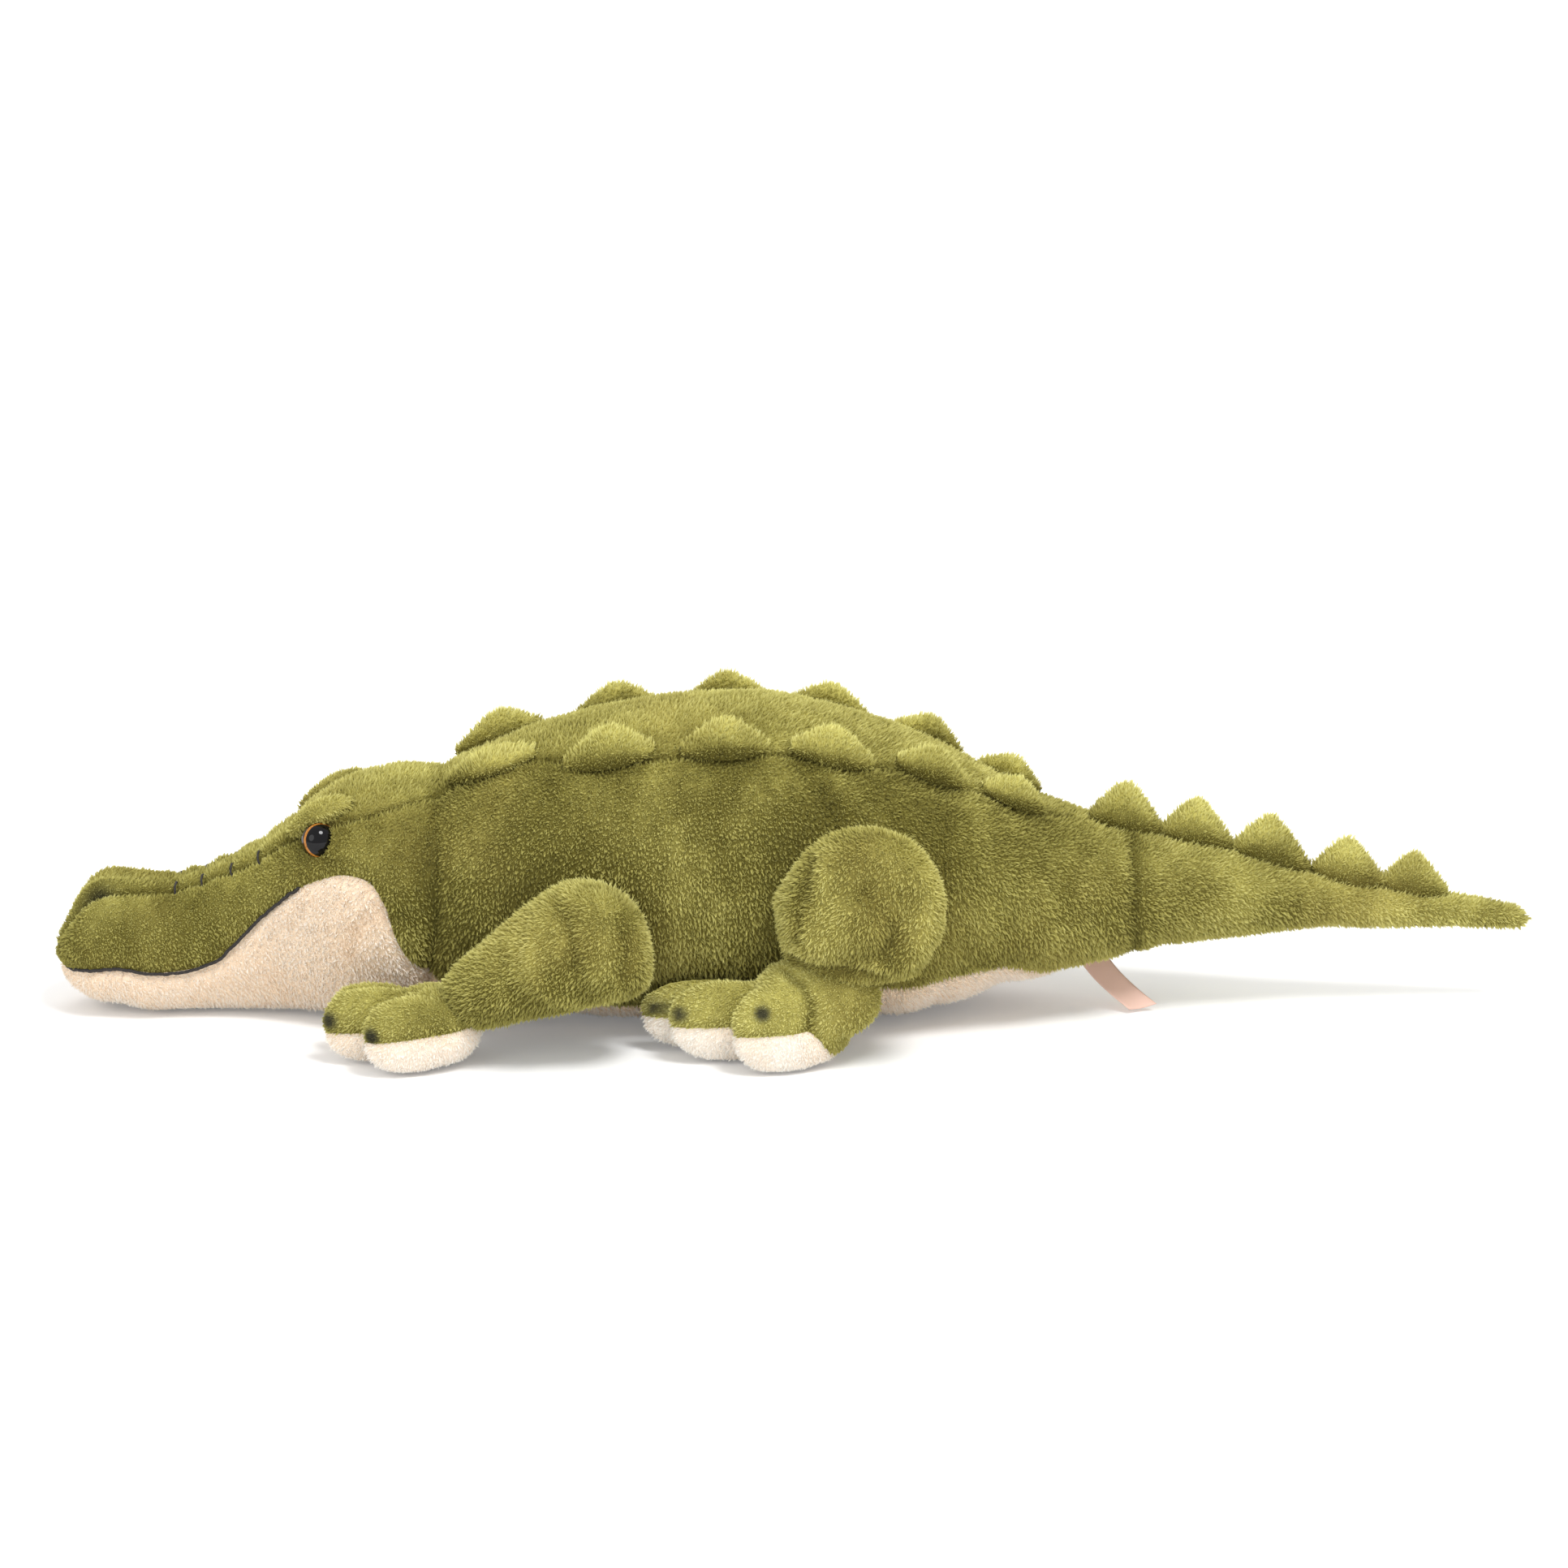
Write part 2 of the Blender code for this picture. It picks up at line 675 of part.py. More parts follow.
def make_cutters():
    """Hidden solids that cut the forms: floor, turning ends and room for the feet."""
    floor = [(NOSE_X - CUT_OVERRUN, -TORSO_WIDTH), (TIP_X + CUT_OVERRUN, -TORSO_WIDTH)]
    floor += [(TIP_X + CUT_OVERRUN, TORSO_WIDTH), (NOSE_X - CUT_OVERRUN, TORSO_WIDTH)]
    rings = [[Vector((x, y, z)) for x, y in floor] for z in (-NECK_HEIGHT, 0)]
    head_plan = turning_outline(NECK_PIVOT_X, NECK_RADIUS, -1)
    tail_plan = turning_outline(TAIL_PIVOT_X, TAIL_RADIUS, 1)
    neck_plan = round_outline(NECK_PIVOT_X, NECK_RADIUS + JOINT_GAP)
    root_plan = round_outline(TAIL_PIVOT_X, TAIL_RADIUS + JOINT_GAP)
    return {
        "floor": guide("floor_cutter", loft_mesh("floor_cutter", rings)),
        "room": guide("body_room_cutter", body_room_mesh("body_room_cutter", FOOT_ROOM)),
        "head": guide("head_end_guide", prism_mesh("head_end_guide", head_plan)),
        "tail": guide("tail_end_guide", prism_mesh("tail_end_guide", tail_plan)),
        "neck_seat": guide("neck_seat_cutter", prism_mesh("neck_seat_cutter", neck_plan)),
        "root_seat": guide("root_seat_cutter", prism_mesh("root_seat_cutter", root_plan)),
    }


def make_torso(cutters, dimples):
    """Filling and four skin panels of the torso, with seats for head, tail and legs."""
    ends = [place(BACK_END_SHARE), place(BELLY_END_SHARE)]
    places = sorted(stations(TORSO_START_X, ROOT_X + CUT_OVERRUN, TORSO_STATIONS) + ends)
    back_places = [x for x in places if x <= ends[0]]
    belly_places = [x for x in places if x <= ends[1]]
    pieces = [filling("torso_filling", places, side_upper, side_lower)]
    pieces.append(panel("back_panel", back_places, mirrored_row_turn, row_turn, BACK_CELLS, 1, GREEN_PLUSH))
    for name, side in (("left_side_panel", 1), ("right_side_panel", -1)):
        pieces.append(panel(name, places, side_upper, side_lower, SIDE_CELLS, side, GREEN_PLUSH))
    belly = panel("belly_panel", belly_places, low_turn, mirrored_low_turn, BELLY_CELLS, 1, CREAM_PLUSH)
    pieces.append(belly)
    for piece in pieces:
        add_boolean(piece, cutters["neck_seat"], "DIFFERENCE")
        add_boolean(piece, cutters["root_seat"], "DIFFERENCE")
    add_boolean(belly, cutters["floor"], "DIFFERENCE")
    for piece in (pieces[0], pieces[2], pieces[3]):
        for side, dimple in dimples:
            if piece is pieces[0] or (side < 0) == (piece is pieces[2]):
                add_boolean(piece, dimple, "DIFFERENCE")
    return pieces


def make_head(cutters, eye_cutters):
    """Filling, top and side panels and the pale jaw of the head."""
    end = NECK_PIVOT_X + NECK_RADIUS + CUT_OVERRUN
    places = nose_stations(end)
    pieces = [filling("head_filling", places, row_turn, low_turn)]
    pieces.append(panel("head_top_panel", places, mirrored_row_turn, row_turn, BACK_CELLS, 1, GREEN_PLUSH))
    for name, side in (("head_left_panel", 1), ("head_right_panel", -1)):
        pieces.append(panel(name, places, row_turn, low_turn, SIDE_CELLS, side, GREEN_PLUSH))
    pieces.append(panel("jaw_panel", places, low_turn, mirrored_low_turn, BELLY_CELLS, 1, CREAM_PLUSH))
    for piece in pieces:
        add_boolean(piece, cutters["head"], "INTERSECT")
    add_boolean(pieces[4], cutters["floor"], "DIFFERENCE")
    for side, seat_cutter, room_cutter in eye_cutters:
        add_boolean(pieces[0], room_cutter, "DIFFERENCE")
        add_boolean(pieces[2] if side > 0 else pieces[3], seat_cutter, "DIFFERENCE")
    return pieces


def make_tail(cutters):
    """Filling and both skin panels of the tail."""
    start = TAIL_PIVOT_X - TAIL_RADIUS - CUT_OVERRUN
    places = tip_stations(start)
    pieces = [filling("tail_filling", places, top_line, under_line)]
    for name, side in (("tail_left_panel", 1), ("tail_right_panel", -1)):
        pieces.append(panel(name, places, top_line, under_line, SIDE_CELLS, side, GREEN_PLUSH))
    for piece in pieces:
        add_boolean(piece, cutters["tail"], "INTERSECT")
    return pieces


def mound(name, x, turn, length, thickness, height, up, profile, values):
    """A stuffed wedge on the body: a lens in plan whose ridge rises to a peak."""
    rings = []
    ends = []
    turn_half = thickness / 2 / girth(x)
    for i in range(SCUTE_RINGS):
        share = 2 * i / (SCUTE_RINGS - 1) - 1
        at = x + share * length / 2
        if i in (0, SCUTE_RINGS - 1):
            ends.append(FORM.point(at, turn) + FORM.normal(at, turn) * SEAT_GAP)
            continue
        fullness = math.sqrt(1 - share ** 2)
        rise = height * (1 - abs(share) ** profile)
        feet = []
        for half in (-1, 1):
            foot_turn = turn + half * turn_half * fullness
            feet.append(FORM.point(at, foot_turn) + FORM.normal(at, foot_turn) * SEAT_GAP)
        middle = (feet[0] + feet[1]) / 2
        across = (feet[1] - feet[0]) / 2
        ring = []
        for j in range(SCUTE_ARC + 1):
            angle = math.pi * j / SCUTE_ARC
            ring.append(middle - across * math.cos(angle) + up * rise * math.sin(angle))
        ring.append(FORM.point(at, turn) + FORM.normal(at, turn) * SEAT_GAP)
        rings.append(ring)
    return finish(name, loft_mesh(name, rings, ends[0], ends[1]), values)


def make_scutes():
    """Two rows along the back seams, the left one's first pressed flat, and one row on the tail."""
    up = Vector((0, 0, 1))
    for row, side in (("left", 1), ("right", -1)):
        for number, (share, size) in enumerate(BACK_SCUTE_SHARES, 1):
            x = place(share)
            turn = side * ROW_SEAM(x)
            flattened = side > 0 and number == 1
            height = size * BACK_SCUTE_HEIGHT * (FLATTENED_SCUTE_SHARE if flattened else 1)
            lean = FORM.normal(x, turn) if flattened else up
            mound(
                f"{row}_scute_{number}", x, turn, size * BACK_SCUTE_LENGTH, size * BACK_SCUTE_THICKNESS,
                height, lean, SCUTE_PROFILE_SHARE, GREEN_PLUSH,
            )
    tail_scutes = []
    for number, (share, size) in enumerate(TAIL_SCUTE_SHARES, 1):
        tail_scutes.append(mound(
            f"tail_scute_{number}", place(share), 0, size * TAIL_SCUTE_LENGTH,
            size * TAIL_SCUTE_THICKNESS, size * TAIL_SCUTE_HEIGHT, up, SCUTE_PROFILE_SHARE, GREEN_PLUSH,
        ))
    return tail_scutes


def eye_seat(side):
    """Point and outward direction of an eye on the head."""
    x = place(EYE_SHARES[0])
    turn = side * EYE_SHARES[1] * math.pi
    return FORM.point(x, turn), FORM.normal(x, turn)


def make_eye_cutters():
    """Hidden pockets: the eye's seat and shank hole, and the washer's room inside."""
    seat = EYE_DIAMETER / 2 + EYE_CLEARANCE
    hole = EYE_SHANK_DIAMETER / 2 + EYE_CLEARANCE
    room = WASHER_DIAMETER / 2 + 2 * EYE_CLEARANCE
    depth = EYE_SHANK_LENGTH + 2 * EYE_CLEARANCE
    step = EYE_SINK + EYE_CLEARANCE
    seat_profile = ((hole, -depth), (hole, -step), (seat, -step), (seat, EYE_DOME))
    room_profile = ((room, -depth), (room, EYE_DOME))
    cutters = []
    for name, side in (("left", 1), ("right", -1)):
        point, out = eye_seat(side)
        seat_cutter = guide(f"{name}_eye_seat", turned_mesh(f"{name}_eye_seat", seat_profile, point, out))
        room_cutter = guide(f"{name}_eye_room", turned_mesh(f"{name}_eye_room", room_profile, point, out))
        cutters.append((side, seat_cutter, room_cutter))
    return cutters


def make_eyes():
    """Domed eyes on shanks, each locked by a washer inside the head."""
    pieces = []
    for name, side in (("left", 1), ("right", -1)):
        point, out = eye_seat(side)
        radius = EYE_DIAMETER / 2
        shank = EYE_SHANK_DIAMETER / 2
        profile = [(shank, -EYE_SHANK_LENGTH), (shank, -EYE_SINK), (radius, -EYE_SINK)]
        dome_base = -EYE_SINK + EYE_SINK / 2
        for share in EYE_DOME_SHARES:
            angle = share * math.pi / 2
            height = dome_base + (EYE_DOME - dome_base) * math.sin(angle)
            profile.append((radius * math.cos(angle), height))
        mesh = turned_mesh(f"{name}_eye", profile, point, out)
        pieces.append(finish(f"{name}_eye", mesh, BLACK_PLASTIC))
        bore = shank + EYE_CLEARANCE / 2
        washer = WASHER_DIAMETER / 2
        top = -WASHER_DEPTH
        low = top - WASHER_THICKNESS
        outer = [(washer, low), (washer, top)]
        inner = [(bore, low), (bore, top)]
        mesh = ring_mesh(f"{name}_eye_washer", outer, inner, point, out)
        pieces.append(finish(f"{name}_eye_washer", mesh, WHITE_PLASTIC))
    return pieces


def ring_mesh(name, outer, inner, origin, direction):
    """A flat ring between an outer and an inner wall, turned round a direction."""
    turn = Vector((0, 0, 1)).rotation_difference(direction).to_matrix().to_4x4()
    where = Matrix.Translation(origin) @ turn
    profile = [outer[0], outer[1], inner[1], inner[0]]
    shape = bmesh.new()
    loops = []
    for i in range(TURNED_STEPS):
        angle = 2 * math.pi * i / TURNED_STEPS
        loop = []
        for radius, height in profile:
            corner = Vector((radius * math.cos(angle), radius * math.sin(angle), height))
            loop.append(shape.verts.new(where @ corner))
        loops.append(loop)
    for i in range(TURNED_STEPS):
        here = loops[i]
        after = loops[(i + 1) % TURNED_STEPS]
        for j in range(len(profile)):
            k = (j + 1) % len(profile)
            shape.faces.new((here[j], here[k], after[k], after[j]))
    return close_mesh(name, shape)


def make_brows():
    """A small stuffed lid over each eye."""
    brows = []
    x = place(BROW_SHARES[0])
    for name, side in (("left_brow", 1), ("right_brow", -1)):
        turn = side * BROW_SHARES[1] * math.pi
        up = FORM.normal(x, turn).lerp(Vector((0, -side, 0)), BROW_LEAN_SHARE).normalized()
        brows.append(mound(
            name, x, turn, BROW_LENGTH, BROW_THICKNESS, BROW_HEIGHT, up, BROW_PROFILE_SHARE, GREEN_PLUSH,
        ))
    return brows


class Leg:
    """Sizes and places of one kind of leg, made for either side."""

    def __init__(self, centre, radius, thickness, outer, ankle, ankle_size, foot, foot_size):
        self.centre = Vector(centre)
        self.radius = radius
        self.thickness = thickness
        self.outer = outer
        self.ankle = Vector(ankle)
        self.ankle_size = ankle_size
        self.foot = Vector(foot)
        self.foot_size = foot_size
        self.axis = (self.ankle - self.centre).normalized()
        flat = Vector((0, 1, 0))
        self.axis_in_plan = (self.axis - flat * self.axis.dot(flat)).normalized()
        self.across = self.axis_in_plan.cross(flat).normalized()
        self.reach = (self.ankle - self.centre).dot(self.axis_in_plan)

    def ring(self, along, inset):
        """A section across the limb, along from the joint's centre towards the ankle."""
        share = min(max(along / self.reach, 0), 1)
        ease = share ** 2 * (3 - 2 * share)
        limit = math.sqrt(1 - (along / self.radius) ** 2) if along < 0 else 1
        width = self.radius * limit * (1 - ease) + self.ankle_size[0] / 2 * ease
        outer = self.outer * limit * (1 - ease) + self.ankle_size[1] / 2 * ease
        inner = LEG_DEPTH * limit * (1 - ease) + self.ankle_size[1] / 2 * ease
        drift = (self.ankle - self.centre - self.axis_in_plan * self.reach) * ease
        middle = self.centre + self.axis_in_plan * along + drift
        points = []
        for i in range(LEG_COLUMNS):
            angle = 2 * math.pi * i / LEG_COLUMNS
            side = math.sin(angle)
            depth = (outer if side > 0 else inner) - inset
            offset = self.across * (width - inset) * math.cos(angle)
            points.append(middle + offset + Vector((0, -depth * side, 0)))
        return points

    def limb_mesh(self, name, inset, overrun):
        """The whole limb, its skin drawn in by an inset, and run on past the ankle."""
        first = -self.radius + inset
        rings = []
        for i in range(1, LEG_DOME_RINGS + 1):
            angle = math.pi / 2 * i / (LEG_DOME_RINGS + 1)
            rings.append(self.ring(first * math.cos(angle), inset))
        for i in range(LEG_STATIONS):
            rings.append(self.ring(self.reach * i / (LEG_STATIONS - 1), inset))
        if overrun:
            rings.append([p + self.axis_in_plan * overrun for p in rings[-1]])
        return loft_mesh(name, rings, self.centre + self.axis_in_plan * first)


def mirrored(mesh, side):
    """The right-hand pieces are the left-hand ones mirrored across the middle plane."""
    if side > 0:
        return mesh
    mesh.transform(Matrix.Scale(-1, 4, (0, 1, 0)))
    mesh.flip_normals()
    return mesh


def foot_rings(leg):
    """Rings of the foot from its sole to its top, with three toes in plan."""
    length, width, height = leg.foot_size
    widest = FOOT_WIDEST_SHARE * height
    power = 2 / FOOT_SQUARENESS_SHARE
    levels = []
    for i in range(1, 2 * FOOT_RINGS):
        tilt = math.pi * i / (2 * FOOT_RINGS) - math.pi / 2
        levels.append((math.cos(tilt) ** power, math.copysign(abs(math.sin(tilt)) ** power, math.sin(tilt))))
    rings = []
    for reach, rise in levels:
        ring = []
        for j in range(FOOT_COLUMNS):
            turn = 2 * math.pi * j / FOOT_COLUMNS - math.pi
            notch = 0
            for share in TOE_NOTCH_SHARES:
                notch += math.exp(-(((turn / math.pi) - share) / TOE_NOTCH_WIDTH_SHARE) ** 2)
            pull = 1 - TOE_NOTCH_DEPTH_SHARE * notch
            x = -length / 2 * math.copysign(abs(math.cos(turn)) ** power, math.cos(turn)) * pull * reach
            y = -width / 2 * math.copysign(abs(math.sin(turn)) ** power, math.sin(turn)) * pull * reach
            lift = 1 + FOOT_RISE_SHARE * x / (length / 2)
            if rise > 0:
                z = widest + (height - widest) * rise * lift * (1 - TOE_GROOVE_SHARE * notch * reach)
            else:
                z = widest + (widest + FLAT_DEPTH) * rise
            ring.append(Vector((leg.foot.x + x, leg.foot.y + y, z)))
        rings.append(ring)
    tips = (Vector((leg.foot.x, leg.foot.y, -FLAT_DEPTH)), Vector((leg.foot.x, leg.foot.y, height)))
    return rings, tips


def slab_mesh(name, corner_a, corner_b):
    """A box between two corners."""
    xs = (corner_a[0], corner_b[0])
    ys = (corner_a[1], corner_b[1])
    plan = [(xs[0], ys[0]), (xs[1], ys[0]), (xs[1], ys[1]), (xs[0], ys[1])]
    return loft_mesh(name, [[Vector((x, y, z)) for x, y in plan] for z in (corner_a[2], corner_b[2])])


def ankle_cutter_mesh(name, leg, gap):
    """Everything on the limb's side of the ankle plane."""
    size = leg.radius + leg.ankle_size[0]
    base = leg.ankle + leg.axis_in_plan * gap
    corners = []
    for a, b in ((-1, -1), (1, -1), (1, 1), (-1, 1)):
        corners.append(leg.across * size * a + Vector((0, size * b, 0)))
    rings = [[base + c for c in corners], [base - leg.axis_in_plan * 2 * size + c for c in corners]]
    return loft_mesh(name, rings)


def make_leg(kind, side_name, side, leg, cutters):
    """One leg: sleeve, filling, foot and sole. Its seat in the torso is cut elsewhere."""
    name = f"{kind}_{side_name}"
    clear = TORSO_WIDTH / 2 + SIDE_CLEARANCE
    walls = {}
    for label, depth in (("skin", 0), ("cavity", PLUSH_THICKNESS), ("core", PLUSH_THICKNESS + FILLING_GAP)):
        wide = leg.radius + leg.ankle_size[0] + leg.reach
        low = (leg.centre.x - wide, -clear - depth, -wide)
        high = (leg.centre.x + wide, 0, TOP_LIMIT)
        wall = guide(f"{name}_{label}_wall", mirrored(slab_mesh(f"{name}_{label}_wall", low, high), side))
        ball = ball_mesh(f"{name}_{label}_ball", leg.centre, leg.radius - depth, leg.thickness - depth)
        add_boolean(wall, guide(f"{name}_{label}_ball", mirrored(ball, side)), "DIFFERENCE")
        walls[label] = wall
    sleeve = finish(f"{name}_leg_sleeve", mirrored(leg.limb_mesh(name, 0, 0), side), GREEN_PLUSH)
    add_boolean(sleeve, walls["skin"], "DIFFERENCE")
    cavity_mesh = leg.limb_mesh(f"{name}_cavity", PLUSH_THICKNESS, CUT_OVERRUN)
    cavity = guide(f"{name}_cavity", mirrored(cavity_mesh, side))
    add_boolean(cavity, walls["cavity"], "DIFFERENCE")
    add_boolean(sleeve, cavity, "DIFFERENCE")
    core_mesh = leg.limb_mesh(f"{name}_core", PLUSH_THICKNESS + FILLING_GAP, 0)
    core = finish(f"{name}_leg_filling", mirrored(core_mesh, side), WHITE_FILLING)
    add_boolean(core, walls["core"], "DIFFERENCE")
    rings, tips = foot_rings(leg)
    ankle = guide(f"{name}_ankle_cutter", mirrored(ankle_cutter_mesh(f"{name}_ankle", leg, ANKLE_GAP), side))
    span = leg.foot_size[0] + leg.ankle_size[0]
    pieces = [sleeve, core]
    for label, level, beyond, values in (
        ("foot", SOLE_HEIGHT + SEAM_GAP / 2, -TOP_LIMIT, GREEN_PLUSH),
        ("sole", SOLE_HEIGHT - SEAM_GAP / 2, TOP_LIMIT, CREAM_PLUSH),
    ):
        mesh = loft_mesh(f"{name}_{label}", rings, tips[0], tips[1])
        piece = finish(f"{name}_{label}", mirrored(mesh, side), values)
        low = (leg.foot.x - span, leg.foot.y - span, min(level, beyond))
        high = (leg.foot.x + span, leg.foot.y + span, max(level, beyond))
        box = guide(f"{name}_{label}_cutter", mirrored(slab_mesh(f"{name}_{label}_cutter", low, high), side))
        add_boolean(piece, box, "DIFFERENCE")
        add_boolean(piece, ankle, "DIFFERENCE")
        add_boolean(piece, cutters["room"], "DIFFERENCE")
        if label == "sole":
            add_boolean(piece, cutters["floor"], "DIFFERENCE")
        pieces.append(piece)
    hang(f"{name}_joint", (leg.centre.x, leg.centre.y * side, leg.centre.z), pieces)


def leg_kinds():
    """The two kinds of leg, on the left side."""
    hip_x = place(HIP_SHARE)
    shoulder_x = place(SHOULDER_SHARE)
    hind = Leg(
        (hip_x, -HIP_OFFSET, HIP_HEIGHT), HIP_RADIUS, HIP_THICKNESS, THIGH_OUTER,
        (hip_x - HIND_ANKLE_REACH, -HIND_ANKLE_OFFSET, HIP_HEIGHT - HIND_ANKLE_DROP),
        (HIND_ANKLE_WIDTH, HIND_ANKLE_THICKNESS), (hip_x - HIND_FOOT_REACH, -HIND_FOOT_OFFSET, 0),
        (HIND_FOOT_LENGTH, HIND_FOOT_WIDTH, HIND_FOOT_HEIGHT),
    )
    front = Leg(
        (shoulder_x, -SHOULDER_OFFSET, SHOULDER_HEIGHT), SHOULDER_RADIUS, SHOULDER_THICKNESS, SHOULDER_OUTER,
        (shoulder_x - FRONT_ANKLE_REACH, -FRONT_ANKLE_OFFSET, SHOULDER_HEIGHT - FRONT_ANKLE_DROP),
        (FRONT_ANKLE_WIDTH, FRONT_ANKLE_THICKNESS), (shoulder_x - FRONT_FOOT_REACH, -FRONT_FOOT_OFFSET, 0),
        (FRONT_FOOT_LENGTH, FRONT_FOOT_WIDTH, FRONT_FOOT_HEIGHT),
    )
    return (("hind", hind), ("front", front))


def make_ribbon():
    """A flat ribbon that leaves the seam under the tail root and bends to the floor."""
    root_x = place(RIBBON_ROOT_SHARE)
    wide = Vector(RIBBON_WIDE_SHARES).normalized()
    drop = RIBBON_THICKNESS / 2 + RIBBON_WIDTH / 2 * wide.z
    root = FORM.point(root_x, math.pi) - Vector((0, 0, drop))
    route = [root + Vector((a, b, -c)) * RIBBON_LENGTH for a, b, c in RIBBON_ROUTE_SHARES]
    thick = wide.cross(route[-1] - route[0]).normalized() * RIBBON_THICKNESS / 2
    half = wide * RIBBON_WIDTH / 2
    outer = [[p - half + thick, p + half + thick] for p in route]
    inner = [[p - half - thick, p + half - thick] for p in route]
    return finish("label_ribbon", sheet_mesh("label_ribbon", outer, inner), PALE_RIBBON)


def main():
    for thing in list(bpy.data.objects):
        bpy.data.objects.remove(thing)
    cutters = make_cutters()
    legs = leg_kinds()
    dimples = []
    for kind, leg in legs:
        for side in (1, -1):
            name = f"{kind}_{'left' if side > 0 else 'right'}_seat"
            ball = ball_mesh(name, leg.centre, leg.radius + LEG_SEAT_GAP, leg.thickness + LEG_SEAT_GAP)
            dimples.append((-side, guide(name, mirrored(ball, side))))
    make_torso(cutters, dimples)
    head = make_head(cutters, make_eye_cutters()) + make_brows() + make_eyes()
    hang("neck_joint", (NECK_PIVOT_X, 0, NECK_HEIGHT / 2), head)
    tail = make_tail(cutters) + make_scutes() + [make_ribbon()]
    hang("tail_joint", (TAIL_PIVOT_X, 0, (TAIL_ROOT_TOP + TAIL_ROOT_BOTTOM) / 2), tail)
    for kind, leg in legs:
        for side_name, side in (("left", 1), ("right", -1)):
            make_leg(kind, side_name, side, leg, cutters)


main()
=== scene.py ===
"""Plush crocodile: the visible pieces, their pile and cloth, the studio and the camera.

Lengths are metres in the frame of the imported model: -X is the nose, +X the tail tip,
+Z up and -Y the animal's left side.
"""

import itertools
import math

import bmesh
import bpy
import numpy as np
from mathutils import Matrix, Vector


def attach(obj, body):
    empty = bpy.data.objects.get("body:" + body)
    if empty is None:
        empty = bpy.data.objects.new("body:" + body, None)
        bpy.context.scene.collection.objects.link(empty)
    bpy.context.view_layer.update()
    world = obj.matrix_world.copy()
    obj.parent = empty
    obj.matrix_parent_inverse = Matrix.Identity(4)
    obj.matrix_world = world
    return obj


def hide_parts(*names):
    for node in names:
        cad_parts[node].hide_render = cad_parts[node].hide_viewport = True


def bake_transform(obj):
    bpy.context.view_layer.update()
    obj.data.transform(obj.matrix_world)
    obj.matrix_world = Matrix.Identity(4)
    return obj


bl_info = {
    "name": "Plush crocodile",
    "version": (1, 0, 0),
    "blender": (4, 5, 0),
    "location": "View3D > Sidebar > Plush",
    "description": "Dresses a packed plush crocodile in pile, thread and glossy eyes",
    "category": "Object",
}

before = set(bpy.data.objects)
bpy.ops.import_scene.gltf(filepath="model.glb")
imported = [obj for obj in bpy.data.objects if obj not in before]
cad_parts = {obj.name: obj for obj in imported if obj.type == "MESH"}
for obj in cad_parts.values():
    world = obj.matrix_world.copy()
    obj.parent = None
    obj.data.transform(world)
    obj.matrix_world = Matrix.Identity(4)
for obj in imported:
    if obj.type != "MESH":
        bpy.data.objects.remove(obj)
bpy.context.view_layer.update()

# Lengthwise places of the body
NOSE_X = -0.301
NECK_X = -0.148
ROOT_X = 0.137
TIP_X = 0.301
WHOLE = TIP_X - NOSE_X
NOSE_ROUND = 0.021
TIP_ROUND = 0.008
# Height of the widest line, as a share of the body's height, along the body and at the nose
WIDEST = 0.47
NOSE_WIDEST = 0.33
NOSE_EASE = 0.040

# Sections: x, half width, top, bottom
SECTIONS = (
    (-0.3010, 0.0254, 0.0530, 0.0026),
    (-0.2800, 0.0262, 0.0556, 0.0026),
    (-0.2620, 0.0278, 0.0541, -0.0005),
    (-0.2450, 0.0272, 0.0573, -0.0005),
    (-0.2280, 0.0277, 0.0645, -0.0005),
    (-0.2120, 0.0310, 0.0745, -0.0005),
    (-0.1980, 0.0368, 0.0865, -0.0005),
    (-0.1820, 0.0442, 0.0955, -0.0005),
    (-0.1650, 0.0500, 0.0998, -0.0005),
    (-0.1480, 0.0540, 0.1020, -0.0005),
    (-0.1300, 0.0578, 0.1085, -0.0005),
    (-0.1050, 0.0625, 0.1178, -0.0005),
    (-0.0699, 0.0668, 0.1262, -0.0005),
    (-0.0351, 0.0680, 0.1312, -0.0005),
    (-0.0149, 0.0680, 0.1315, -0.0005),
    (0.0099, 0.0672, 0.1265, -0.0005),
    (0.0401, 0.0635, 0.1170, -0.0005),
    (0.0600, 0.0592, 0.1085, 0.0040),
    (0.0800, 0.0535, 0.0984, 0.0105),
    (0.1000, 0.0463, 0.0886, 0.0153),
    (0.1199, 0.0382, 0.0815, 0.0197),
    (0.1370, 0.0318, 0.0772, 0.0242),
    (0.1650, 0.0242, 0.0705, 0.0284),
    (0.1951, 0.0185, 0.0625, 0.0311),
    (0.2251, 0.0140, 0.0551, 0.0333),
    (0.2551, 0.0103, 0.0500, 0.0336),
    (0.2849, 0.0078, 0.0452, 0.0325),
    (0.3010, 0.0067, 0.0421, 0.0317),
)
SQUARENESS = ((-0.301, 2.5), (-0.193, 2.6), (-0.138, 2.2), (0.301, 2.2))
# Seams: share of the whole length, share of a half turn from the top line
SCUTE_SEAM = (
    (0.000, 0.170), (0.040, 0.158), (0.090, 0.110), (0.140, 0.150), (0.200, 0.215), (0.250, 0.152),
    (0.300, 0.118), (0.375, 0.188), (0.458, 0.200), (0.530, 0.182), (0.593, 0.142), (0.648, 0.107),
    (0.675, 0.075), (0.690, 0.040), (0.705, 0.012), (0.750, 0.012), (1.000, 0.012),
)
LOW_SEAM = (
    (0.000, 0.500), (0.016, 0.502), (0.036, 0.515), (0.077, 0.537), (0.102, 0.524), (0.120, 0.492),
    (0.145, 0.418), (0.176, 0.386), (0.202, 0.390), (0.220, 0.424), (0.240, 0.570), (0.256, 0.650),
    (0.300, 0.735), (0.400, 0.790), (0.500, 0.740), (0.554, 0.700), (0.622, 0.700), (0.660, 0.770),
    (0.685, 0.890), (0.700, 0.965), (0.715, 0.988), (0.750, 0.988), (1.000, 0.988),
)
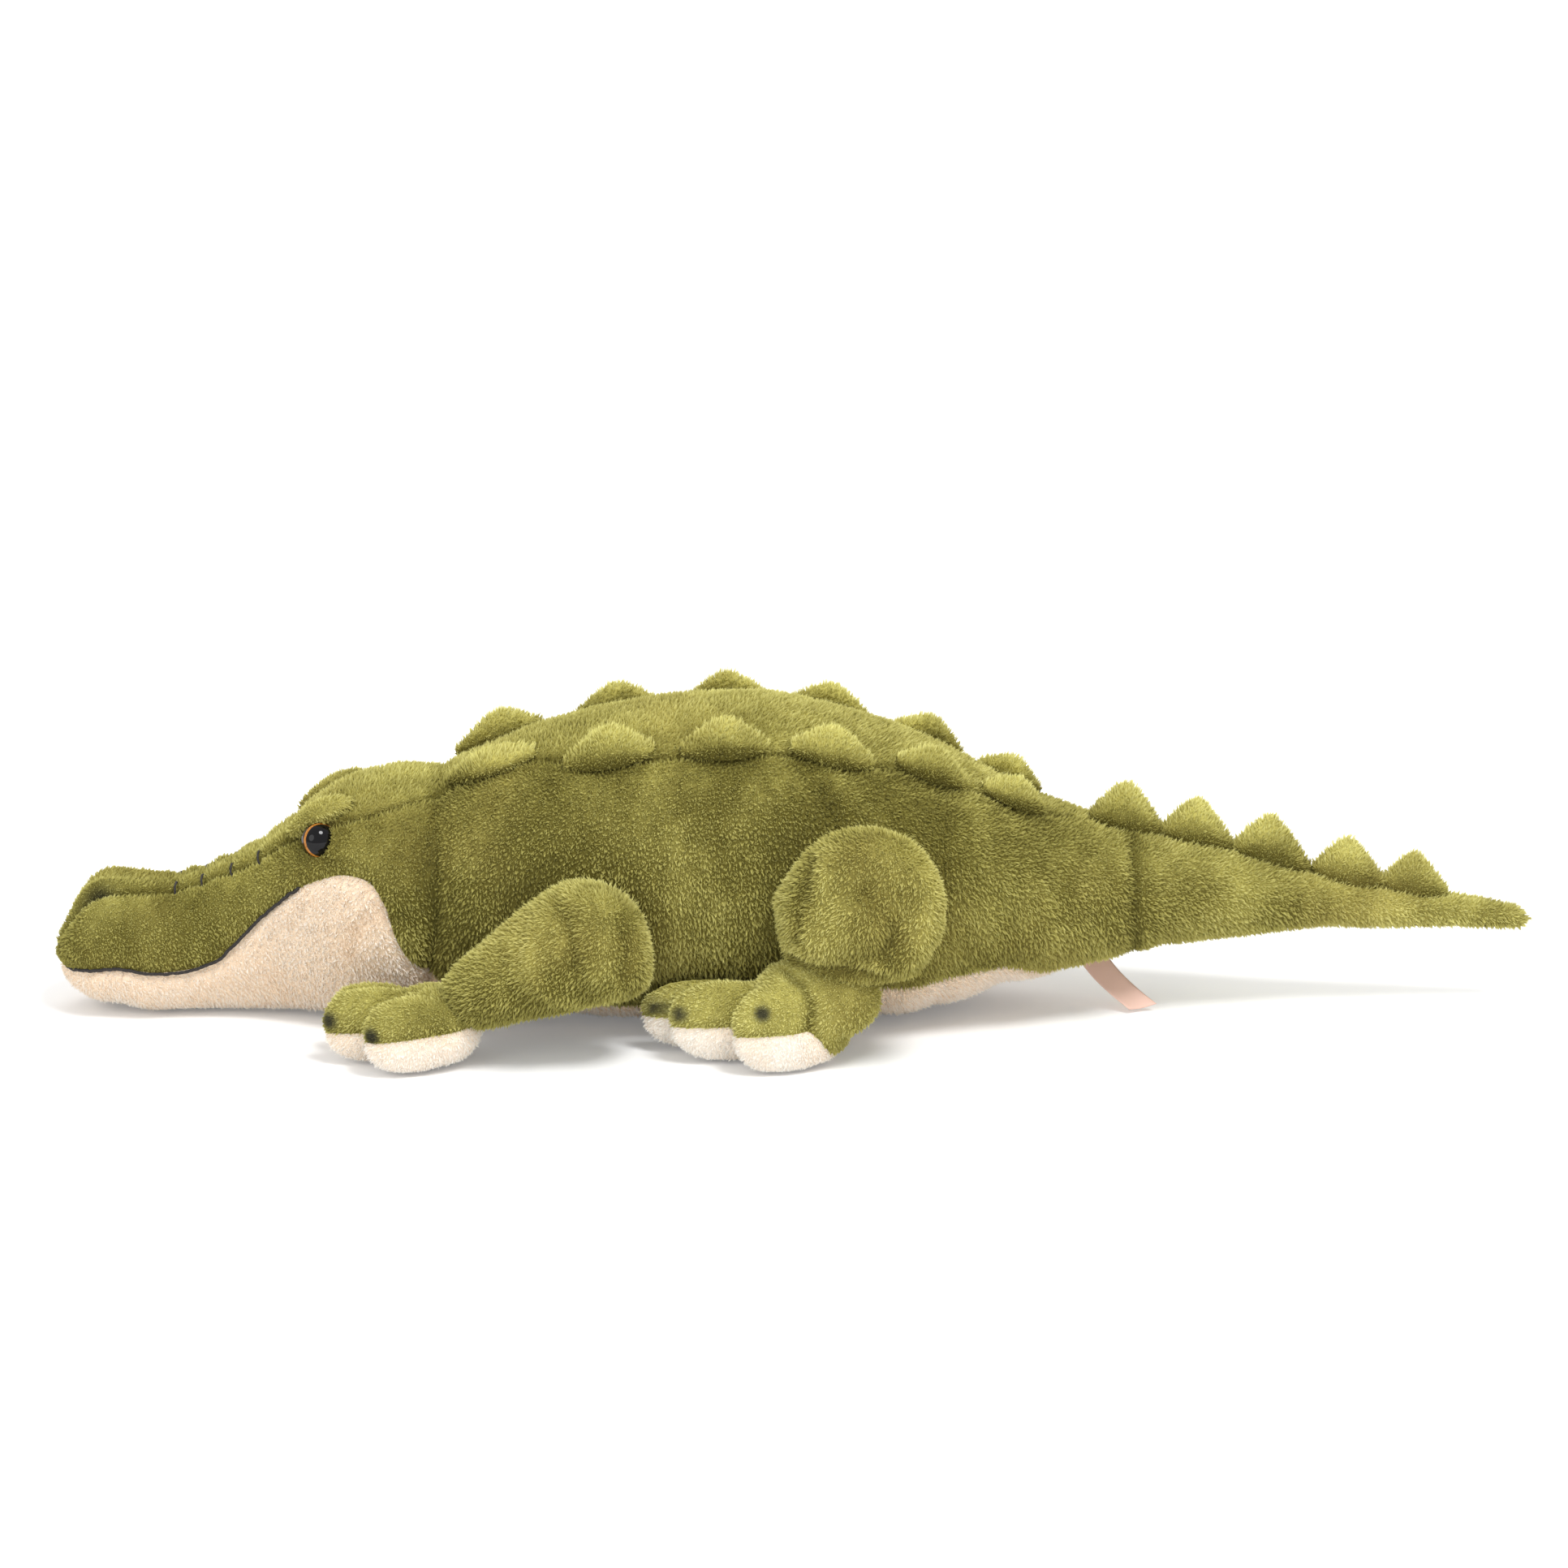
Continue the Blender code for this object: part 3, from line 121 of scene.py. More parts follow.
BACK_END = NOSE_X + 0.690 * WHOLE
BELLY_END = NOSE_X + 0.700 * WHOLE

# Scutes: share of the whole length, share of the full size
BACK_SCUTES = ((0.297, 0.95), (0.376, 0.98), (0.453, 0.94), (0.524, 0.90), (0.590, 0.76), (0.646, 0.68))
TAIL_SCUTES = ((0.724, 0.92), (0.772, 0.94), (0.822, 1.00), (0.875, 0.92), (0.920, 0.84))
SCUTE_SPREAD = 0.014
# Eyes and brows: share of the whole length, share of a half turn from the top line
EYE = (0.181, 0.254)
BROW = (0.184, 0.150)
EYE_FACES = (0.44, 0.86, 0.25)
EYE_RADIUS = 0.00710
EYE_RISE = 0.0056
EYE_RIM = 0.0004
MOUTH_END = 0.166
PINCHES = (-0.2528, -0.2421, -0.2300, -0.2186)
NOSTRIL_X = -0.2855

# Joints the legs turn on, their ball seats, ankles and feet, for the left side
LEGS = {
    "hind": {
        "centre": (0.02649, -0.078, 0.0644), "radius": 0.0345, "trim": 0.0022, "ball": 0.024,
        "outer": 0.023, "ankle": (0.01199, -0.079, 0.0389), "ankle_size": (0.036, 0.026),
        "hold": 0.40, "lift": 3.0, "swells": ((205, 0.16, 25),), "foot": (-0.01451, -0.0765),
    },
    "front": {
        "centre": (-0.08308, -0.078, 0.0505), "radius": 0.0275, "trim": 0.0022, "ball": 0.022,
        "outer": 0.021, "ankle": (-0.13008, -0.080, 0.0270), "ankle_size": (0.031, 0.032),
        "hold": 0.0, "lift": 0.0, "swells": ((-37, 0.22, 30),), "foot": (-0.15758, -0.0785),
    },
}
# Folds of the limbs in side view: the path, how deep it goes (or stands, below zero), its width
CREASES = {
    "hind": (
        (((0.0062, 0.0858), (0.0001, 0.0661), (-0.0008, 0.0553)), 0.0030, 0.0024),
        (((-0.0040, 0.0455), (0.0150, 0.0430), (0.0340, 0.0385)), 0.0032, 0.0026),
        (((0.0275, 0.0765), (0.0376, 0.0625), (0.0392, 0.0416)), 0.0026, 0.0048),
        (((0.0500, 0.0800), (0.0520, 0.0680), (0.0470, 0.0540), (0.0400, 0.0450)), -0.0018, 0.0048),
        (((0.0100, 0.0820), (0.0110, 0.0700), (0.0120, 0.0560)), -0.0012, 0.0060),
    ),
    "front": (
        (((-0.0960, 0.0740), (-0.0895, 0.0650), (-0.0865, 0.0560), (-0.0860, 0.0460)), 0.0020, 0.0030),
        (((-0.0681, 0.0640), (-0.0640, 0.0540), (-0.0660, 0.0420)), 0.0020, 0.0030),
        (((-0.0780, 0.0660), (-0.0750, 0.0540), (-0.0770, 0.0400)), -0.0014, 0.0060),
        (((-0.1160, 0.0500), (-0.1120, 0.0400), (-0.1080, 0.0320)), 0.0012, 0.0040),
    ),
}
# Lobes of a foot: forward, outward and up from its middle, half sizes, heading in degrees
LOBES = {
    "hind": (
        ((-0.0160, -0.0010, 0.0165), (0.0215, 0.0195, 0.0180), 0),
        ((0.0200, -0.0128, 0.0158), (0.0290, 0.0087, 0.0162), -6),
        ((0.0100, -0.0005, 0.0168), (0.0270, 0.0088, 0.0178), 2),
        ((-0.0080, 0.0122, 0.0180), (0.0205, 0.0100, 0.0192), 12),
        ((-0.0225, 0.0032, 0.0278), (0.0262, 0.0163, 0.0174), 0),
    ),
    "front": (
        ((-0.0150, -0.0010, 0.0160), (0.0200, 0.0195, 0.0168), 0),
        ((0.0090, -0.0130, 0.0152), (0.0210, 0.0085, 0.0152), -8),
        ((0.0080, -0.0010, 0.0160), (0.0225, 0.0086, 0.0162), 0),
        ((-0.0060, 0.0120, 0.0158), (0.0195, 0.0098, 0.0164), 12),
    ),
}
CLAWS = {
    "hind": ((-0.0012, 0.0195, 0.0265), (0.0320, 0.0040, 0.0212), (0.0430, -0.0115, 0.0196)),
    "front": ((0.0080, 0.0185, 0.0175), (0.0270, 0.0025, 0.0186), (0.0270, -0.0115, 0.0190)),
}
LIMB_DEPTH = 0.034
CUFF_ROUND = 0.010
CUFF_END = 0.009
WALL_Y = 0.0687
FLANK_GAP = 0.0003
# The lobes are joined as superellipsoids of a power, and blend over a sharpness
LOBE_POWER = 2.3
LOBE_SHARPNESS = 26.0
FOOT_REACH = 0.08
FOOT_HALVINGS = 26
FOOT_COLUMNS = 150
# Edge of a sole: height, rise towards the heel and drop at the heel, both in radians
SOLE_EDGES = {"hind": (0.0172, 0.05, 0.50), "front": (0.0158, 0.09, 0.0)}
# Crease behind the outermost hind toe, in side view
TOE_CREASE = ((-0.0047, 0.0430), (0.0020, 0.0375), (0.0056, 0.0290), (0.0052, 0.0204))

# How far the skin under the pile lies inside the outside of the pile
SKIN_INSET = 0.0017
SOLE_LEVEL = 0.0004
MERGE_DISTANCE = 0.00001
UV_MARGIN = 0.01
PROBE = 0.0004
LEAST_GIRTH = 0.002
GRID_STEP = 0.0020
HEAD_STEP = 0.0016

# Hills and dents on the skin: place along, spread, distance down from the scute seam, spread
# across and height. They are the pinches, the hollows under the scutes, the muzzle's bulge and
# the nostril with its two lips.
HILLS = (
    *((pinch, 0.0024, -0.0040, 0.0060, -0.0022) for pinch in PINCHES),
    *((NOSE_X + share * WHOLE, SCUTE_SPREAD * size, 0.0055, 0.0040, -0.0016) for share, size in BACK_SCUTES),
    (-0.2680, 0.0160, -0.0050, 0.0060, 0.0016),
    (NOSTRIL_X, 0.0078, -0.0006, 0.0027, -0.0066),
    (NOSTRIL_X, 0.0110, -0.0061, 0.0034, 0.0020),
    (NOSTRIL_X + 0.001, 0.0090, 0.0054, 0.0040, 0.0010),
)
# Soft folds across the rear flank and the tail: place, depth, width and tilt
FOLDS = (
    (0.0720, 0.0007, 0.0050, 0.30), (0.0880, 0.0009, 0.0045, 0.10), (0.1060, 0.0010, 0.0045, -0.10),
    (0.1210, 0.0008, 0.0040, 0.05), (0.1520, 0.0006, 0.0040, 0.10), (-0.1330, 0.0006, 0.0050, -0.10),
    (0.0150, 0.0006, 0.0060, 0.40),
)
# Folds in side view: path, height and width of the form, painted shade (painted light above zero) and its
# width. The first pair is the slack fold behind the third scute and the ridge beside it, shaded in the fold
# and lit on the ridge.
FLANK_FOLDS = (
    (((-0.0030, 0.1160), (0.0040, 0.1120), (0.0104, 0.1050), (0.0150, 0.0950)),
     -0.0012, 0.0042, -0.20, 0.0045),
    (((0.0055, 0.1160), (0.0125, 0.1120), (0.0189, 0.1050), (0.0235, 0.0950)),
     0.0010, 0.0055, 0.12, 0.0055),
)
HEAD_FOLDS = (
    (((-0.2000, 0.0930), (-0.2040, 0.0860), (-0.2045, 0.0800), (-0.2010, 0.0740)),
     -0.0011, 0.0026, -0.16, 0.0026),
    (((-0.1790, 0.0360), (-0.1772, 0.0440), (-0.1735, 0.0490), (-0.1660, 0.0535)),
     -0.0013, 0.0030, -0.22, 0.0030),
    (((-0.1900, 0.0735), (-0.1830, 0.0700), (-0.1740, 0.0725)),
     -0.0007, 0.0030, -0.06, 0.0030),
)
# Tone of the cloth, as painted light and shade: axis, where the change starts and ends, the change, and the x
# it holds between. The rows along the height paint light on the tops of the torso and the head and shade low
# on the sides; the rows along x make the cloth lighter towards the tail and the nose.
TONES = (
    (2, 0.075, 0.125, 0.16, NECK_X - 0.001, ROOT_X),
    (0, 0.020, 0.090, 0.06, -1, 1),
    (0, 0.100, 0.200, 0.16, -1, 1),
    (2, 0.055, 0.012, -0.16, -1, 0.14),
    (0, -0.150, -0.200, 0.06, -1, 1),
    (2, 0.086, 0.100, 0.24, -1, NECK_X),
)

# The studio
FLOOR_REACH = 12.0
FLOOR_GLOW = 0.16
FAR_GLOW = 0.60
WORLD_LEVEL = 0.70
WHITE = (1.0, 1.0, 1.0, 1.0)
# Lamps: name, place, size and power
LAMPS = (
    ("key_lamp", (0.7, -0.9, 2.0), 0.8, 33.0),
    ("fill_lamp", (-1.3, -1.6, 1.1), 1.4, 9.0),
    ("back_lamp", (0.1, 1.6, 1.6), 1.2, 11.0),
)
LAMP_TARGET = (0.0, 0.0, 0.05)
CAMERA_ELEVATION = 15.0
CAMERA_ANGLE = 2 * math.atan(966 / 5454.5)
CAMERA_PLACE = (-0.00495, -1.7387, 0.5594)


# Numbers

def curve(rows):
    """A smooth curve through rows of place and value, read at whole arrays."""
    places = np.array([row[0] for row in rows], float)
    values = np.array([row[1] for row in rows], float)
    rises = np.diff(values) / np.diff(places)
    slopes = np.gradient(values, places)
    for i in range(1, len(rises)):
        if rises[i - 1] * rises[i] <= 0:
            slopes[i] = 0

    def read(x):
        x = np.asarray(x, float)
        i = np.clip(np.searchsorted(places, x) - 1, 0, len(places) - 2)
        step = places[i + 1] - places[i]
        t = np.clip((x - places[i]) / step, 0, 1)
        start = (2 * t ** 3 - 3 * t ** 2 + 1) * values[i] + (t ** 3 - 2 * t ** 2 + t) * step * slopes[i]
        return start + (3 * t ** 2 - 2 * t ** 3) * values[i + 1] + (t ** 3 - t ** 2) * step * slopes[i + 1]

    return read


def noise(points, size, seed):
    """Smooth value noise from -1 to 1 at points, with cells of a size."""
    q = points / size + seed * 7.31
    base = np.floor(q).astype(np.int64)
    f = q - base
    f = f * f * (3 - 2 * f)
    total = np.zeros(points.shape[:-1])
    for corner in itertools.product((0, 1), repeat=3):
        c = base + np.array(corner)
        mixed = c[..., 0] * 374761393 + c[..., 1] * 668265263 + c[..., 2] * 1442695041 + seed * 977
        mixed = (mixed ^ (mixed >> 13)) * 1274126177
        value = ((mixed ^ (mixed >> 16)) & 0xFFFF) / 0xFFFF
        weight = np.prod(np.where(np.array(corner) == 1, f, 1 - f), axis=-1)
        total += value * weight
    return total * 2 - 1


def place(share):
    """Lengthwise place of a share of the whole length."""
    return NOSE_X + share * WHOLE


def bell(distance, width):
    """One at no distance, falling to nothing within a few widths."""
    return np.exp(-(distance / width) ** 2)


def smooth(low, high, value):
    """Nothing at low, one at high, eased between."""
    t = np.clip((value - low) / (high - low), 0, 1)
    return t * t * (3 - 2 * t)


def unit(v):
    """Vectors brought to length one."""
    return v / (np.linalg.norm(v, axis=-1, keepdims=True) + 1e-12)


WIDTH, TOP, BOTTOM = (curve([(row[0], row[k]) for row in SECTIONS]) for k in (1, 2, 3))
SQUARE = curve(SQUARENESS)
ROW_TURN, LOW_TURN = (curve([(place(s), v * math.pi) for s, v in seam]) for seam in (SCUTE_SEAM, LOW_SEAM))


def closing(x):
    """How far the sections have opened behind the nose and before the tip."""
    nose = 1 - np.clip((x - NOSE_X) / NOSE_ROUND, 0, 1)
    tip = 1 - np.clip((TIP_X - x) / TIP_ROUND, 0, 1)
    return np.sqrt(1 - nose ** 2) * np.sqrt(1 - tip ** 2)


def surface(x, turn):
    """Points of the stuffed body; turn is radians from the top line towards -Y."""
    x, turn = np.broadcast_arrays(np.asarray(x, float), np.asarray(turn, float))
    close = closing(x)
    top, bottom = TOP(x), BOTTOM(x)
    level = NOSE_WIDEST + (WIDEST - NOSE_WIDEST) * smooth(NOSE_X, NOSE_X + NOSE_EASE, x)
    middle = bottom + level * (top - bottom)
    power = 2 / SQUARE(x)
    side, up = np.sin(turn), np.cos(turn)
    reach = np.where(up > 0, top - middle, middle - bottom)
    y = -WIDTH(x) * close * np.sign(side) * np.abs(side) ** power
    z = middle + reach * close * np.sign(up) * np.abs(up) ** power
    return np.stack([x, y, z], -1)


def flank(x, z):
    """Half width of the stuffed body at a place and a height."""
    top, bottom = TOP(x), BOTTOM(x)
    middle = bottom + WIDEST * (top - bottom)
    reach = np.where(z > middle, top - middle, middle - bottom)
    share = np.clip(np.abs(z - middle) / reach, 0, 1)
    return WIDTH(x) * (1 - share ** SQUARE(x)) ** (1 / SQUARE(x))


def girth(x):
    """Mean radius of the body's section."""
    return np.maximum(closing(x) * (WIDTH(x) + (TOP(x) - BOTTOM(x)) / 2) / 2, LEAST_GIRTH)


def facing(x, turn):
    """Outward direction of the body's surface."""
    x, turn = np.asarray(x, float), np.asarray(turn, float)
    low = np.maximum(x - PROBE, NOSE_X + PROBE / 4)
    high = np.minimum(x + PROBE, TIP_X - PROBE / 4)
    swing = PROBE / girth(x)
    along = surface(high, turn) - surface(low, turn)
    around = surface(x, turn + swing) - surface(x, turn - swing)
    return -unit(np.cross(along, around))


def turn_from_top(turn):
    """Radians from the top line, down either side."""
    return np.abs((turn + math.pi) % (2 * math.pi) - math.pi)


def seam_distance(x, turn, seam):
    """Distance across the surface from a seam that both sides of the body have."""
    radius = girth(x)
    step = 0.0005
    slope = (seam(x + step) - seam(x - step)) / (2 * step)
    return (turn_from_top(turn) - seam(x)) * radius / np.sqrt(1 + (radius * slope) ** 2)


# Meshes

def grid_mesh(name, points, wrap=False, caps=(False, False)):
    """A mesh over rows of points, with its own even UV layout."""
    rows, columns = points.shape[:2]
    mesh = bpy.data.meshes.new(name)
    faces = []
    uvs = []
    last = columns if wrap else columns - 1
    du, dv = 1 / (rows - 1), 1 / last
    for i in range(rows - 1):
        for j in range(last):
            k = (j + 1) % columns
            faces.append((i * columns + j, i * columns + k, (i + 1) * columns + k, (i + 1) * columns + j))
            u, v = i / (rows - 1), j / last
            uvs += [(u, v), (u, v + dv), (u + du, v + dv), (u + du, v)]
    for cap, row in zip(caps, (0, rows - 1)):
        if cap:
            faces.append([row * columns + j for j in range(columns)])
            uvs += [(row / (rows - 1), j / columns) for j in range(columns)]
    mesh.from_pydata(points.reshape(-1, 3).tolist(), [], faces)
    layer = mesh.uv_layers.new(name="OFBake")
    layer.data.foreach_set("uv", (np.array(uvs) * (1 - 2 * UV_MARGIN) + UV_MARGIN).ravel())
    return mesh


def outward(mesh, centre=None):
    """Close the poles and point the faces out, by trial against a point inside."""
    shape = bmesh.new()
    shape.from_mesh(mesh)
    bmesh.ops.remove_doubles(shape, verts=shape.verts, dist=MERGE_DISTANCE)
    bmesh.ops.recalc_face_normals(shape, faces=shape.faces)
    if centre is not None:
        votes = 0.0
        for face in shape.faces:
            votes += face.normal.dot(face.calc_center_median() - Vector(centre)) * face.calc_area()
        if votes < 0:
            bmesh.ops.reverse_faces(shape, faces=shape.faces)
    shape.to_mesh(mesh)
    shape.free()
    return mesh


def grid_normals(points, wrap=False):
    """Outward directions over rows of points, by trial against their middle."""
    along = np.gradient(points, axis=0)
    if wrap:
        around = (np.roll(points, -1, axis=1) - np.roll(points, 1, axis=1)) / 2
    else:
        around = np.gradient(points, axis=1)
    out = unit(np.cross(along, around))
    middle = points.reshape(-1, 3).mean(0)
    return -out if (out * (points - middle)).sum() < 0 else out


def flow(out, wanted):
    """The wanted direction laid onto a surface."""
    wanted = np.broadcast_to(np.asarray(wanted, float), out.shape)
    return unit(wanted - out * (out * wanted).sum(-1, keepdims=True))


def crease(points, path, width):
    """One at a path in side view, falling off with the distance from it."""
    flat = points[..., [0, 2]]
    nearest = np.full(flat.shape[:-1], 1.0)
    for start, end in zip(path, path[1:]):
        start, end = np.array(start), np.array(end)
        along = end - start
        share = np.clip(((flat - start) @ along) / (along @ along), 0, 1)
        away = np.linalg.norm(flat - start - share[..., None] * along, axis=-1)
        nearest = np.minimum(nearest, away)
    return bell(nearest, width)


def laid(name, mesh):
    """A mesh as an object of the scene, at the origin."""
    obj = bpy.data.objects.new(name, mesh)
    bpy.context.scene.collection.objects.link(obj)
    return obj


def piece(name, mesh, material):
    """A smooth object of one material."""
    obj = laid(name, mesh)
    mesh.materials.clear()
    mesh.materials.append(material)
    mesh.shade_smooth()
    return obj


def skin(name, points, out, wanted, material, wrap=False, caps=(False, False), **fields):
    """A sewn skin over rows of points, carrying what the pile and the colours need."""
    mesh = grid_mesh(name, points, wrap, caps)
    attributes = {"pile": 1.0, "tone": 0.0, "mark": 0.0, "tip": 0.0}
    attributes.update(fields)
    for label, values in attributes.items():
        attribute = mesh.attributes.new(label, "FLOAT", "POINT")
        attribute.data.foreach_set("value", np.broadcast_to(values, points.shape[:2]).ravel())
    nap = mesh.attributes.new("nap", "FLOAT_VECTOR", "POINT")
    nap.data.foreach_set("vector", flow(out, wanted).ravel())
    outward(mesh, points.reshape(-1, 3).mean(0) - out.reshape(-1, 3).mean(0) * 0.05)
    return piece(name, mesh, material)


# Node trees

class Val:
    """A socket that can be added to, multiplied and compared like a number."""

    def __init__(self, net, socket):
        self.net = net
        self.socket = socket

    def out(self, key):
        """Another output of the same node."""
        return Val(self.net, self.socket.node.outputs[key])

    def math(self, kind, *others):
        return self.net.node("ShaderNodeMath", 0, dict(enumerate((self, *others))), operation=kind)

    def __add__(self, other):
        return self.math("ADD", other)

    __radd__ = __add__

    def __mul__(self, other):
        return self.math("MULTIPLY", other)

    __rmul__ = __mul__

    def __sub__(self, other):
        return self.math("SUBTRACT", other)

    def __rsub__(self, other):
        return self.net.node("ShaderNodeMath", 0, {0: other, 1: self}, operation="SUBTRACT")

    def __truediv__(self, other):
        return self.math("DIVIDE", other)

    def __pow__(self, other):
        return self.math("POWER", other)

    def clamp(self):
        return self.math("MAXIMUM", 0.0).math("MINIMUM", 1.0)

    def step(self, low, high):
        """Nothing at low, one at high, eased between."""
        sockets = {"Value": self, "From Min": low, "From Max": high}
        return self.net.node("ShaderNodeMapRange", "Result", sockets, interpolation_type="SMOOTHSTEP")


class Net:
    """Adds the nodes of one tree."""

    def __init__(self, tree):
        self.tree = tree

    def node(self, kind, out=0, sockets=None, **settings):
        """A node by its type: its settings first, then the values or links of its sockets."""
        made = self.tree.nodes.new(kind)
        for label, value in settings.items():
            setattr(made, label, value)
        self.fill(made, sockets or {})
        return Val(self, made.outputs[out]) if made.outputs else None

    def fill(self, made, sockets):
        """Set sockets by name or number; a list is linked into one socket in order."""
        for key, value in sockets.items():
            for item in value if isinstance(value, list) else [value]:
                if isinstance(item, Val):
                    self.tree.links.new(item.socket, made.inputs[key])
                else:
                    made.inputs[key].default_value = item

    def vector(self, kind, *values, out=0, **sockets):
        """Vector maths on values or links."""
        return self.node("ShaderNodeVectorMath", out, {**dict(enumerate(values)), **sockets}, operation=kind)


def random(net, low, high, seed, ident=None):
    """A random number, or a random vector between two corners, for each point."""
    kind, first, out = ("FLOAT_VECTOR", 0, 0) if isinstance(low, tuple) else ("FLOAT", 2, 1)
    sockets = {first: low, first + 1: high, "Seed": seed}
    if ident is not None:
        sockets["ID"] = ident
    return net.node("FunctionNodeRandomValue", out, sockets, data_type=kind)


def field(net, name):
    """A number that each point of the cloth carries."""
    return net.node("ShaderNodeAttribute", "Fac", attribute_name=name)


def grain(net, scale, detail=3.0, rough=0.55, stretch=None):
    """Noise from 0 to 1 over the object's own coordinates."""
    source = net.node("ShaderNodeTexCoord", "Object")
    if stretch:
        source = net.node("ShaderNodeMapping", "Vector", {"Vector": source, "Scale": stretch})
    sockets = {"Vector": source, "Scale": scale, "Detail": detail, "Roughness": rough}
    return net.node("ShaderNodeTexNoise", "Fac", sockets)


def mix(net, factor, a, b):
    """Colour between a and b, each a colour or a socket."""
    a, b = ((*end, 1) if isinstance(end, tuple) else end for end in (a, b))
    return net.node("ShaderNodeMix", 2, {"Factor": factor, 6: a, 7: b}, data_type="RGBA")


def linear(r, g, b):
    """Linear colour of eight-bit display values."""
    out = []
    for value in (r, g, b):
        value /= 255
        out.append(value / 12.92 if value <= 0.04045 else ((value + 0.055) / 1.055) ** 2.4)
    return tuple(out)


def new_material(name):
    """A material, the net of its nodes and its shader."""
    material = bpy.data.materials.new(name)
    material.use_nodes = True
    net = Net(material.node_tree)
    return material, net, material.node_tree.nodes["Principled BSDF"]


def bump(net, height, strength, distance):
    """Normal of a fine relief."""
    sockets = {"Strength": strength, "Distance": distance, "Height": height}
    return net.node("ShaderNodeBump", "Normal", sockets)


def plush_material(name, deep, middle, light, flush, mottle):
    """Short pile: deep colour at the roots and light at the tips, as painted shade deep in the pile; brushed
    patches between.
    """
    material, net, shader = new_material(name)
    tip, shade, tone, mark = (field(net, label) for label in ("tip", "shade", "tone", "mark"))
    patches = grain(net, 26.0, 3.0, 0.6)
    brushed = grain(net, 75.0, 2.0, 0.5, (1.0, 1.0, 0.45))
    level = (patches - 0.5) * mottle + (brushed - 0.5) * (mottle * 0.6) + tone
    # shade and tip paint the shade between the clumps and deep in the pile, darkest on the skin between the
    # tufts
    level = level + (shade - 0.5) * 0.5 + tip * 0.55 + 0.22
    colour = mix(net, level.step(-0.1, 0.5), deep, middle)
    colour = mix(net, level.step(0.4, 1.1), colour, light)
    colour = mix(net, grain(net, 14.0, 2.0, 0.5).step(0.45, 0.75) * 0.22, colour, flush)
    # the mark paints the claws' airbrushed dark and painted shadow in the nostrils
    claw_paint_and_nostril_shade = linear(46, 46, 40)
    colour = mix(net, mark.clamp() * 0.94, colour, claw_paint_and_nostril_shade)
    net.fill(shader, {
        "Base Color": colour, "Roughness": 0.9, "Sheen Weight": 0.25, "Sheen Roughness": 0.45,
        "Sheen Tint": (*light, 1), "Specular IOR Level": 0.15,
        "Normal": bump(net, grain(net, 1400.0, 1.0, 0.5), 0.25, 0.0006),
    })
    return material


def thread_material(name, colour):
    """Twisted embroidery thread."""
    material, net, shader = new_material(name)
    twist = grain(net, 2200.0, 1.0, 0.4)
    lit = tuple(c * 2.6 + 0.01 for c in colour)
    net.fill(shader, {
        "Base Color": mix(net, twist.step(0.3, 0.8), colour, lit), "Roughness": 0.72,
        "Normal": bump(net, twist, 0.6, 0.0002),
    })
    return material


def eye_material(name, centre, out):
    """A black pupil in an amber ring, under a glossy clear coat."""
    material, net, shader = new_material(name)
    shift = net.vector("SUBTRACT", net.node("ShaderNodeTexCoord", "Object"), centre)
    height = net.vector("DOT_PRODUCT", shift, out, out="Value")
    square = net.vector("DOT_PRODUCT", shift, shift, out="Value")
    share = (square - height * height).math("MAXIMUM", 0.0) ** 0.5 * (1 / EYE_RADIUS)
    amber = mix(net, grain(net, 1100.0, 2.0, 0.6).step(0.3, 0.7), linear(158, 92, 24), linear(214, 148, 66))
    colour = mix(net, share.step(0.900, 0.918), linear(12, 11, 13), amber)
    colour = mix(net, share.step(0.965, 0.985), colour, linear(40, 22, 10))
    colour = mix(net, height.step(-0.0003, 0.0006), linear(24, 16, 10), colour)
    net.fill(shader, {
        "Base Color": colour, "Roughness": 0.12, "Coat Weight": 0.8, "Coat Roughness": 0.03,
        "Coat IOR": 1.36, "Specular IOR Level": 0.05,
    })
    return material


def plastic_material(name, colour):
    """Moulded plastic with a fine speck."""
    material, net, shader = new_material(name)
    speck = grain(net, 600.0, 2.0, 0.5)
    net.fill(shader, {
        "Base Color": mix(net, speck, tuple(c * 0.86 for c in colour), colour), "Roughness": 0.5,
        "Normal": bump(net, speck, 0.2, 0.0001),
    })
    return material


def ribbon_material(name):
    """Woven satin ribbon: fine crossing ribs that follow its own UV."""
    material, net, shader = new_material(name)
    coords = net.node("ShaderNodeTexCoord", "UV")

    def ribs(way, scale):
        sockets = {"Scale": scale, "Distortion": 0.4, "Vector": coords}
        return net.node("ShaderNodeTexWave", "Fac", sockets, bands_direction=way)

    weave = ribs("X", 46.0) * 0.6 + ribs("Y", 18.0) * 0.4
    net.fill(shader, {
        "Base Color": mix(net, weave, linear(252, 198, 178), linear(255, 228, 214)), "Roughness": 0.55,
        "Sheen Weight": 0.2, "Normal": bump(net, weave, 0.4, 0.0001),
    })
    return material


# Pile and stitches

def new_tree(name, sizes):
    """A Geometry Nodes tree with named inputs, each a label, a socket type and a default."""
    tree = bpy.data.node_groups.new(name, "GeometryNodeTree")
    inputs = (("Geometry", "Geometry", None), *sizes, ("Material", "Material", None))
    for label, kind, value in inputs:
        socket = tree.interface.new_socket(label, in_out="INPUT", socket_type="NodeSocket" + kind)
        if value is not None:
            socket.default_value = value
    tree.interface.new_socket("Geometry", in_out="OUTPUT", socket_type="NodeSocketGeometry")
    net = Net(tree)
    given = net.node("NodeGroupInput")
    return net, {label: given.out(label) for label, _, _ in inputs}


def close_tree(net, geometry, material):
    """Cover the geometry with the material and end the tree."""
    covered = net.node("GeometryNodeSetMaterial", 0, {"Geometry": geometry, "Material": material})
    net.node("NodeGroupOutput", 0, {0: covered})
    return net.tree


